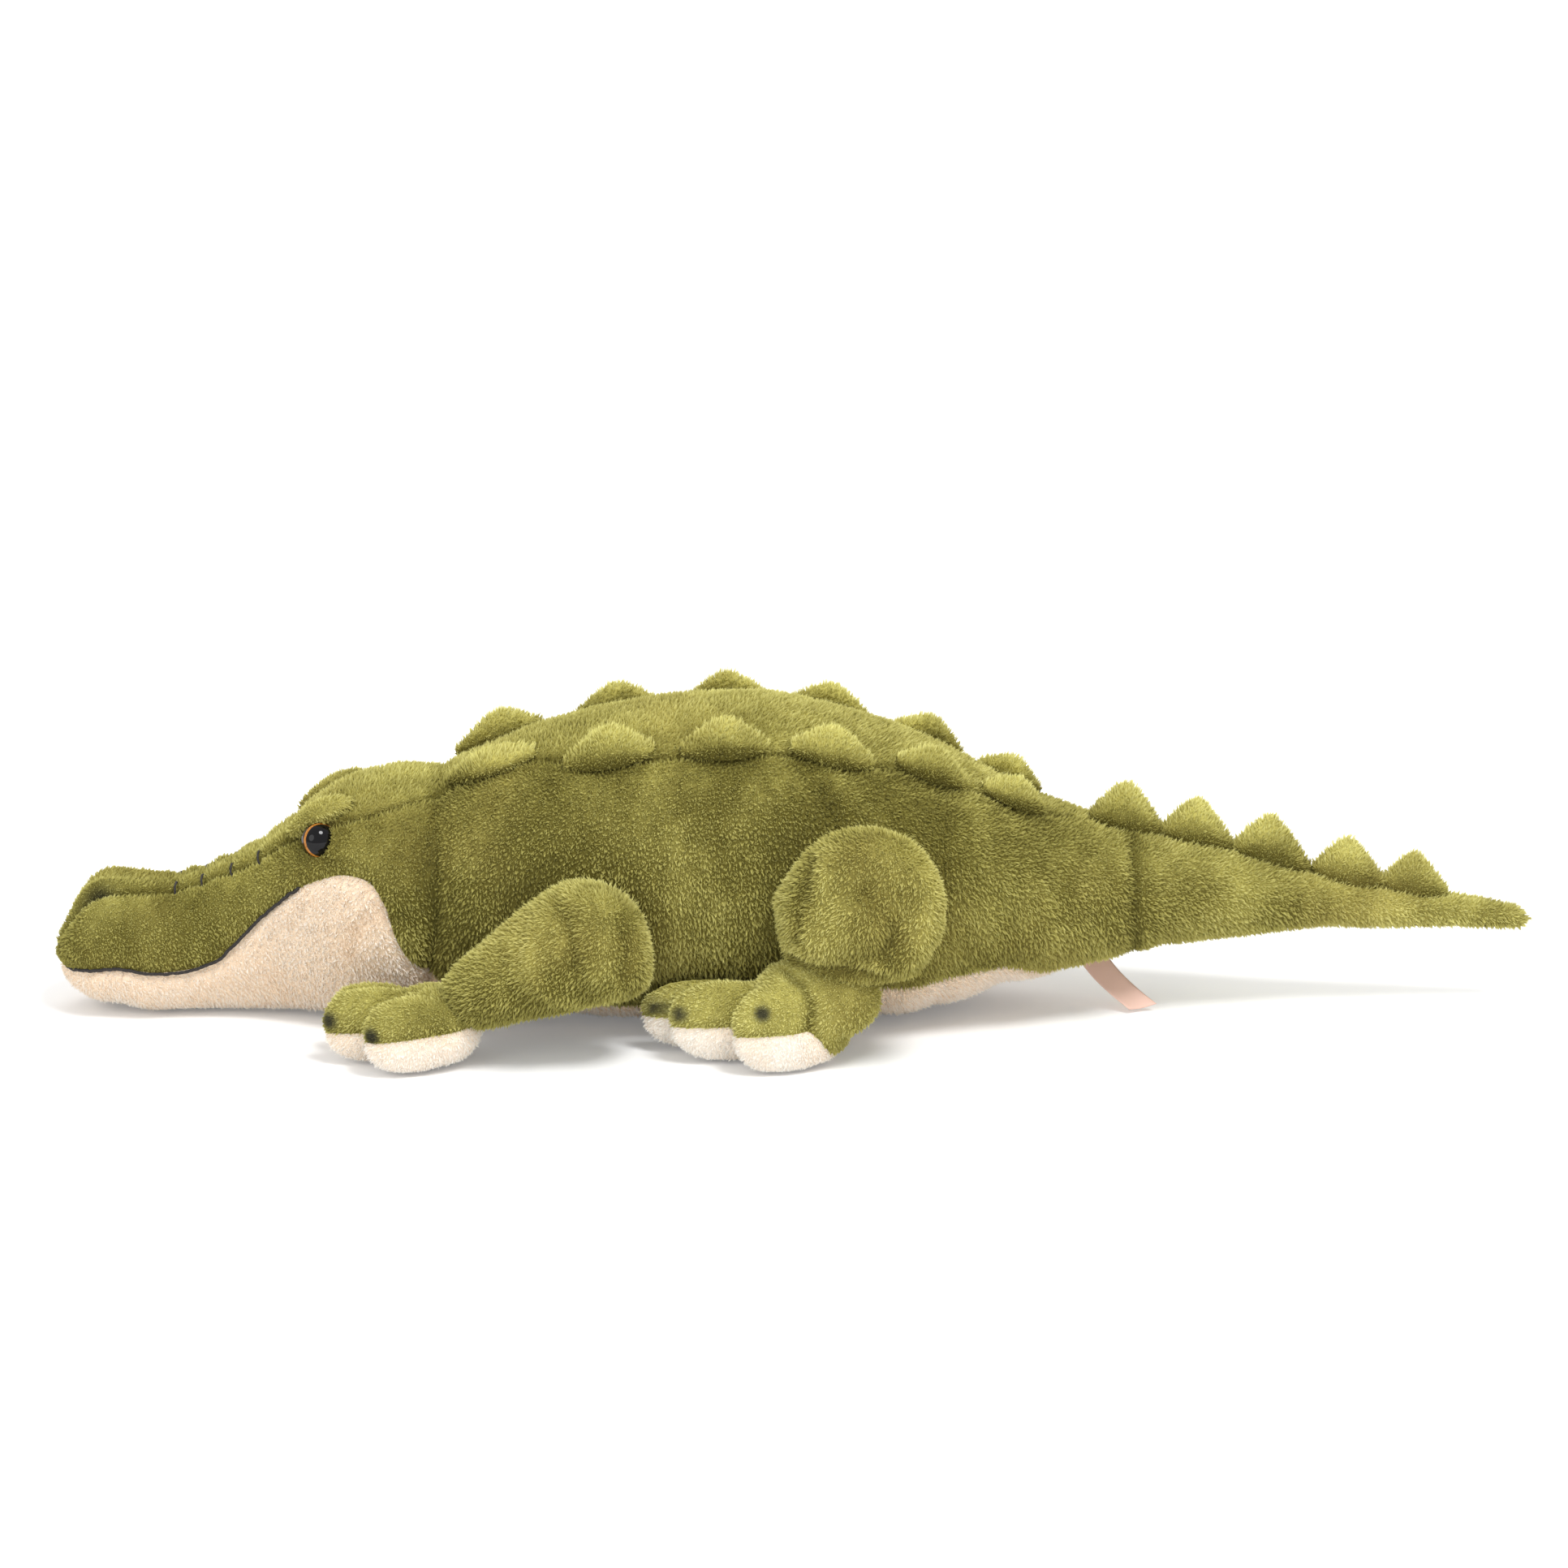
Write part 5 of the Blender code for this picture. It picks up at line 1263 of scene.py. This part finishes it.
def make_sleeve(kind, side_name, cloth, seed):
    """The sleeve of one leg with the folds that its stuffing leaves."""
    limb = Limb(kind)
    points = limb.sleeve()
    out = grid_normals(points, True)
    shown = smooth(-0.2, 0.5, -out[..., 1])
    away = np.hypot(points[..., 0] - limb.centre[0], points[..., 2] - limb.centre[2]) / limb.radius
    rise = 0.0018 * bell(away - 0.82, 0.14) - 0.0024 * bell(away - 0.50, 0.17) * (kind == "hind")
    rise = rise * shown - SKIN_INSET + 0.0008 * noise(points, 0.022, 31) + 0.0004 * noise(points, 0.010, 32)
    # painted highlight on the upper rim of the thigh and shoulder balls
    tone = 0.10 * bell(away - 0.85, 0.25) * smooth(0.02, 0.06, points[..., 2])
    for path, depth, width in CREASES[kind]:
        dent = depth * crease(points, path, width) * shown
        rise = rise - dent
        # painted shade in the creases, painted light on the folds that stand
        tone = tone - 90 * dent
    points = points + out * rise[..., None]
    points[0] = points[0].mean(0)
    hidden = limb.inside(points)
    # painted light on the top of the front leg's shoulder
    if kind == "front":
        tone = tone + 0.12 * smooth(0.0, 0.012, points[..., 2] - 0.045 - (points[..., 0] + 0.09) * 0.5)
    # painted shade low down near the floor
    tone = tone - 0.10 * smooth(0.03, 0.005, points[..., 2])
    if side_name == "right":
        points, out = mirror(points), mirror(out)
    material = plush(cloth)
    obj = skin(
        f"{kind}_{side_name}_sleeve_skin", points, out, (limb.axis[0], 0.0, limb.axis[2]), material,
        wrap=True, caps=(False, True), pile=np.where(hidden, 0.0, 1.0), tone=tone,
    )
    return grow(obj, material, seed)


# Sizes and colours a user would change

def colour_property(name, description, r, g, b):
    """A colour whose default is given as eight-bit display values."""
    return bpy.props.FloatVectorProperty(
        name=name, description=description, default=linear(r, g, b), size=3, subtype="COLOR")


class PlushPile(bpy.types.PropertyGroup):
    """Sizes of the short pile."""

    length: bpy.props.FloatProperty(
        name="Pile length", description="Length of a tuft", default=0.0024, unit="LENGTH")
    radius: bpy.props.FloatProperty(
        name="Tuft radius", description="Half width of a tuft at its root", default=0.00029, unit="LENGTH")
    density: bpy.props.FloatProperty(
        name="Density", description="Tufts in a square metre", default=2.0e6)
    lean: bpy.props.FloatProperty(
        name="Lean", description="How far the pile lies over along its nap", default=0.42, subtype="FACTOR")
    clump_spacing: bpy.props.FloatProperty(
        name="Clump spacing", description="Least distance between clumps", default=0.00135, unit="LENGTH")
    clump_pull: bpy.props.FloatProperty(
        name="Clump pull", description="How strongly tufts lean together", default=0.95, subtype="FACTOR")
    stray: bpy.props.FloatProperty(
        name="Stray", description="How far tufts point astray", default=0.16, subtype="FACTOR")


class PlushColours(bpy.types.PropertyGroup):
    """Colours of the cloths and threads."""

    # The root colours are painted shade deep in the pile, between the tufts.
    green_deep: colour_property("Green roots", "Green pile at its roots", 105, 98, 42)
    green: colour_property("Green", "Green pile", 185, 177, 98)
    green_light: colour_property("Green tips", "Brushed green tips", 236, 231, 152)
    cream_deep: colour_property("Cream roots", "Pale pile at its roots", 247, 226, 200)
    cream: colour_property("Cream", "Pale pile", 255, 247, 236)
    cream_light: colour_property("Cream tips", "Pale tips", 255, 253, 247)
    thread: colour_property("Thread", "Mouth and pinch stitches", 30, 26, 24)


# Warmer strokes of each cloth and how far it is mottled
STROKES = {"green_plush": (linear(184, 166, 92), 0.8), "cream_plush": (linear(252, 231, 208), 0.55)}


def plush(cloth):
    """The green or the cream plush, made once from the colours in the panel."""
    name = f"{cloth}_pile"
    found = bpy.data.materials.get(name)
    if found:
        return found
    colours = bpy.context.scene.plush_colours
    tint = cloth.split("_")[0]
    shades = (tuple(getattr(colours, label)) for label in (f"{tint}_deep", tint, f"{tint}_light"))
    return plush_material(name, *shades, *STROKES[cloth])


class PLUSH_OT_torso(bpy.types.Operator):
    """Sew the torso: back, two sides and belly"""

    bl_idname = "plush.torso"
    bl_label = "Torso"

    def execute(self, context):
        whole = spaced(NECK_X, ROOT_X, GRID_STEP)
        back = whole[whole <= BACK_END + GRID_STEP]
        belly = whole[whole <= BELLY_END + GRID_STEP]
        along, down = (1.0, 0.0, 0.0), (0.35, 0.0, -1.0)
        green, cream = "green_plush", "cream_plush"
        panels = (
            ("back_skin", back, row_wrap, ROW_TURN, 44, 1, green, along, ("back_panel", "torso_filling")),
            ("left_side_skin", whole, side_upper, side_lower, 60, 1, green, down, ("left_side_panel",)),
            ("right_side_skin", whole, side_upper, side_lower, 60, -1, green, down, ("right_side_panel",)),
            ("belly_skin", belly, LOW_TURN, low_wrap, 50, 1, cream, along, ("belly_panel",)),
        )
        for seed, (name, places, upper, lower, columns, side, cloth, wanted, nodes) in enumerate(panels, 11):
            obj = body_skin(name, places, upper, lower, columns, side, cloth, seed, wanted, "side" in name)
            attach(obj, "torso")
            stuffed(obj, nodes)
        return {"FINISHED"}


class PLUSH_OT_head(bpy.types.Operator):
    """Sew the head: top, two sides and jaw"""

    bl_idname = "plush.head"
    bl_label = "Head"

    def execute(self, context):
        down = (0.9, 0.0, -0.5)
        green, cream = "green_plush", "cream_plush"
        top_nodes = ("head_top_panel", "head_filling")
        panels = (
            ("head_top_skin", row_wrap, ROW_TURN, 40, 1, green, (1.0, 0.0, 0.0), top_nodes),
            ("head_left_skin", ROW_TURN, LOW_TURN, 40, 1, green, down, ("head_left_panel",)),
            ("head_right_skin", ROW_TURN, LOW_TURN, 40, -1, green, down, ("head_right_panel",)),
            ("jaw_skin", LOW_TURN, low_wrap, 70, 1, cream, (1.0, 0.0, -0.2), ("jaw_panel",)),
        )
        for seed, (name, upper, lower, columns, side, cloth, wanted, nodes) in enumerate(panels, 21):
            obj = body_skin(name, nose_places(NECK_X), upper, lower, columns, side, cloth, seed, wanted)
            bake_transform(obj)
            stuffed(obj, nodes)
        return {"FINISHED"}


class PLUSH_OT_tail(bpy.types.Operator):
    """Sew the tail and the scutes along it"""

    bl_idname = "plush.tail"
    bl_label = "Tail"

    def execute(self, context):
        for seed, side, nodes in (
            (31, 1, ("tail_left_panel", "tail_filling")), (32, -1, ("tail_right_panel",)),
        ):
            name = nodes[0].replace("panel", "skin")
            obj = body_skin(
                name, tip_places(ROOT_X), top_line, under_line, 40, side, "green_plush", seed,
                (1.0, 0.0, -0.35),
            )
            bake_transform(obj)
            stuffed(obj, nodes)
        for number, (share, size) in enumerate(TAIL_SCUTES, 1):
            node = f"tail_scute_{number}"
            length, thickness, height = size * 0.0330, size * 0.0124, size * 0.0186
            up = np.array([0.0, 0.0, 1.0])
            points = mound_points(place(share), 0.0, length, thickness, height, up, 1.4)
            obj = mound(f"{node}_skin", node, points, 40 + number, (0.35, 0.0, 1.0), 0.12)
            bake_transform(obj)
        return {"FINISHED"}


class PLUSH_OT_scutes(bpy.types.Operator):
    """Set the two rows of scutes along the back seams"""

    bl_idname = "plush.scutes"
    bl_label = "Back scutes"

    def execute(self, context):
        for row, side, seed in (("left", 1, 50), ("right", -1, 60)):
            for number, (share, size) in enumerate(BACK_SCUTES, 1):
                x = place(share)
                turn = side * float(ROW_TURN(x))
                up = np.array([0.30 * float(smooth(0.46, 0.62, share)), 0.0, 1.0])
                height = size * 0.0112
                if side > 0 and number == 1:
                    # the first left scute lies pressed flat
                    up = facing(x, turn)
                    height *= 0.50
                set_in = turn - side * 0.0012 / float(girth(x))
                points = mound_points(x, set_in, size * 0.0375, size * 0.0136, height, up, 1.5, 0.45)
                node = f"{row}_scute_{number}"
                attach(mound(f"{node}_skin", node, points, seed + number, (0.35, 0.0, 1.0), 0.14), "torso")
        return {"FINISHED"}


class PLUSH_OT_face(bpy.types.Operator):
    """Set the eyes, the brows over them, and the mouth and snout stitches"""

    bl_idname = "plush.face"
    bl_label = "Face"

    def execute(self, context):
        for name, side, height, seed in (("left", 1, 0.0056, 71), ("right", -1, 0.0034, 72)):
            self.eye(name, side)
            x, turn = place(BROW[0]), side * BROW[1] * math.pi
            up = unit(facing(x, turn) * 0.725 + np.array([0.0, -side, 0.0]) * 0.275)
            points = mound_points(x - 0.001, turn, 0.0262, 0.0140, height, up, 0.7, 0.0, 17, 0.8)
            wanted = (0.9, -0.3 * side, -0.1)
            obj = mound(f"{name}_brow_skin", f"{name}_brow", points, seed, wanted, 0.10, 0.0022, 0.14)
            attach(obj, "head")
        self.stitches()
        return {"FINISHED"}

    def eye(self, name, side):
        """A domed eye with a short shank, set a little into the skin."""
        point, normal = eye_seat(side)
        out = tuple(unit(np.array([EYE_FACES[0], -side * EYE_FACES[1], EYE_FACES[2]])))
        point = tuple(point - normal * 0.0014)
        profile = [(0.0, -0.0050), (EYE_RADIUS * 0.9, -0.0050), (EYE_RADIUS, -0.0012), (EYE_RADIUS, -EYE_RIM)]
        profile += [
            (EYE_RADIUS * math.cos(a), (EYE_RISE + EYE_RIM) * math.sin(a) - EYE_RIM)
            for a in np.linspace(0.05, math.pi / 2, 22)
        ]
        dome = turned(f"{name}_eye_dome", profile, point, out)
        obj = piece(f"{name}_eye_dome", dome, eye_material(f"{name}_eye_plastic", point, out))
        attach(obj, "head")
        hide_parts(f"{name}_eye")

    def stitches(self):
        """The mouth thread round the muzzle, and the pinches across the scute seam."""
        thread = thread_material("black_thread", tuple(bpy.context.scene.plush_colours.thread))
        front = NOSE_X + NOSE_ROUND * (1 - np.cos(np.linspace(0.03, math.pi / 2, 16)))
        x = np.concatenate([np.linspace(place(MOUTH_END), NOSE_X + NOSE_ROUND, 52), front[::-1][1:]])
        left, right = (surface(x, turn) - facing(x, turn) * 0.0013 for turn in (LOW_TURN(x), -LOW_TURN(x)))
        sewn("mouth_thread", [np.concatenate([left, right[::-1]])], thread, 0.0021, 0.00074, 1.75, 0.00022, 5)
        pinches = []
        ends = np.abs(np.linspace(-1, 1, 9)) ** 3
        for side, at in itertools.product((1, -1), PINCHES):
            seam = float(ROW_TURN(at))
            turns = np.linspace(seam - 0.26, seam + 0.05, 9) * side
            places = np.full(9, at)
            lift = -0.0008 - 0.0014 * ends
            pinches.append(surface(places, turns) + facing(places, turns) * lift[:, None])
        sewn("snout_stitches", pinches, thread, 0.0012, 0.00048, 2.2, 0.00006, 6)


class PLUSH_OT_legs(bpy.types.Operator):
    """Sew the four legs: sleeve, foot and sole"""

    bl_idname = "plush.legs"
    bl_label = "Legs"

    def execute(self, context):
        green, cream = "green_plush", "cream_plush"
        for number, (kind, side) in enumerate(itertools.product(("front", "hind"), ("left", "right"))):
            leg = f"{kind}_{side}"
            body = f"{leg}_leg"
            seed = 80 + 3 * number
            parts = (
                (make_sleeve(kind, side, green, seed), (f"{body}_sleeve", f"{body}_filling"), green),
                (make_foot(kind, side, green, seed + 1, False), (f"{leg}_foot",), green),
                (make_foot(kind, side, cream, seed + 2, True), (f"{leg}_sole",), cream),
            )
            for obj, nodes, cloth in parts:
                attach(obj, body)
                stuffed(obj, nodes)
        return {"FINISHED"}


class PLUSH_OT_ribbon(bpy.types.Operator):
    """Hang the blank ribbon label from the seam under the tail"""

    bl_idname = "plush.ribbon"
    bl_label = "Ribbon label"

    def execute(self, context):
        width, length, half_thick = 0.012, 0.028, 0.00016
        wide = unit(np.array([1.0, 0.3, 0.12]))
        root = surface(place(0.703), math.pi) - np.array([0, 0, 0.0003 + width / 2 * wide[2]])
        # route: share of the length, then along, across and down as shares of it
        route = (
            (0.0, 0.0, 0.0, 0.0), (0.33, 0.20, -0.14, 0.22), (0.66, 0.44, -0.30, 0.42),
            (1.0, 0.70, -0.44, 0.61),
        )
        t = np.linspace(0, 1, 30)
        along, aside, down = (curve([(row[0], row[k]) for row in route])(t) for k in (1, 2, 3))
        middle = root + np.stack([along, aside, -down], -1) * length
        across = np.linspace(-0.5, 0.5, 13)
        thick = unit(np.cross(wide, middle[-1] - middle[0]))
        sheet = middle[:, None] + wide * width * across[None, :, None]
        sheet = sheet + thick * (0.0007 * np.cos(across * 5.0) * t[:, None] ** 2)[..., None]
        loop = np.concatenate([sheet + thick * half_thick, (sheet - thick * half_thick)[:, ::-1]], axis=1)
        mesh = outward(grid_mesh("ribbon_label", loop, wrap=True, caps=(True, True)))
        obj = piece("ribbon_label", mesh, ribbon_material("ribbon_satin"))
        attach(obj, "tail")
        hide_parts("label_ribbon")
        return {"FINISHED"}


class PLUSH_OT_washers(bpy.types.Operator):
    """Finish the washers that lock the eyes inside the head"""

    bl_idname = "plush.washers"
    bl_label = "Eye washers"

    def execute(self, context):
        material = plastic_material("washer_plastic", (0.75, 0.75, 0.72))
        for name in ("left_eye_washer", "right_eye_washer"):
            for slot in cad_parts[name].material_slots:
                slot.material = material
        return {"FINISHED"}


class PLUSH_OT_stage(bpy.types.Operator):
    """Set the floor, the lamps, the world and the camera"""

    bl_idname = "plush.stage"
    bl_label = "Stage"

    def execute(self, context):
        context.scene.view_settings.view_transform = "Standard"
        self.floor()
        self.world(context.scene)
        for name, at, size, power in LAMPS:
            data = bpy.data.lights.new(name, "AREA")
            data.shape = "DISK"
            data.size = size
            data.energy = power
            lamp = laid(name, data)
            lamp.location = at
            lamp.rotation_euler = (Vector(LAMP_TARGET) - Vector(at)).to_track_quat("-Z", "Y").to_euler()
        data = bpy.data.cameras.new("camera")
        data.sensor_fit = "HORIZONTAL"
        data.angle = CAMERA_ANGLE
        data.clip_start = 0.05
        camera = laid("camera", data)
        camera.location = CAMERA_PLACE
        camera.rotation_euler = (math.radians(90 - CAMERA_ELEVATION), 0, 0)
        context.scene.camera = camera
        return {"FINISHED"}

    def floor(self):
        """A white floor that keeps its shadow and glows white far off."""
        reach = np.linspace(-FLOOR_REACH, FLOOR_REACH, 9)
        mesh = grid_mesh("floor", np.array([[(x, y, 0.0) for x in reach] for y in reach]))
        material, net, shader = new_material("floor_white")
        rays = net.node("ShaderNodeLightPath", "Is Camera Ray")
        seen = (rays + rays.out("Is Glossy Ray") + rays.out("Is Transmission Ray")).clamp()
        away = net.vector("LENGTH", net.node("ShaderNodeTexCoord", "Object"), out="Value")
        glow = away.step(0.35, 2.2) * (FAR_GLOW - FLOOR_GLOW) + FLOOR_GLOW
        net.fill(shader, {
            "Base Color": mix(net, grain(net, 3.0, 1.0, 0.4), (0.93, 0.93, 0.93), (0.95, 0.95, 0.95)),
            "Roughness": 1.0, "Specular IOR Level": 0.0, "Emission Strength": 1.0,
            "Emission Color": mix(net, seen * glow, (0.0, 0.0, 0.0), (1.0, 1.0, 1.0)),
        })
        piece("floor", mesh, material)

    def world(self, scene):
        """Even white light, and plain white where the camera sees past the floor."""
        scene.world = bpy.data.worlds.new("studio")
        scene.world.use_nodes = True
        net = Net(scene.world.node_tree)
        sky = net.tree.nodes["Background"]
        net.fill(sky, {"Color": WHITE, "Strength": WORLD_LEVEL})
        plain = net.node("ShaderNodeBackground", 0, {"Color": WHITE, "Strength": 1.0})
        seen = net.node("ShaderNodeLightPath", "Is Camera Ray")
        shown = net.node("ShaderNodeMixShader", 0, {"Fac": seen, 1: Val(net, sky.outputs[0]), 2: plain})
        net.fill(net.tree.nodes["World Output"], {"Surface": shown})


class PLUSH_PT_panel(bpy.types.Panel):
    """Lists the pieces and their sizes"""

    bl_label = "Plush crocodile"
    bl_idname = "PLUSH_PT_panel"
    bl_space_type = "VIEW_3D"
    bl_region_type = "UI"
    bl_category = "Plush"

    def draw(self, context):
        for group in (context.scene.plush_pile, context.scene.plush_colours):
            for label in type(group).__annotations__:
                self.layout.prop(group, label)
        for operator in OPERATORS:
            self.layout.operator(operator.bl_idname)


OPERATORS = (
    PLUSH_OT_stage, PLUSH_OT_torso, PLUSH_OT_head, PLUSH_OT_tail, PLUSH_OT_scutes, PLUSH_OT_face,
    PLUSH_OT_legs, PLUSH_OT_ribbon, PLUSH_OT_washers,
)
CLASSES = (PlushPile, PlushColours) + OPERATORS + (PLUSH_PT_panel,)


def register():
    for item in CLASSES:
        bpy.utils.register_class(item)
    bpy.types.Scene.plush_pile = bpy.props.PointerProperty(type=PlushPile)
    bpy.types.Scene.plush_colours = bpy.props.PointerProperty(type=PlushColours)


def unregister():
    del bpy.types.Scene.plush_colours
    del bpy.types.Scene.plush_pile
    for item in reversed(CLASSES):
        bpy.utils.unregister_class(item)


def main():
    register()
    for operator in OPERATORS:
        group, label = operator.bl_idname.split(".")
        getattr(getattr(bpy.ops, group), label)()


if __name__ == "__main__":
    main()
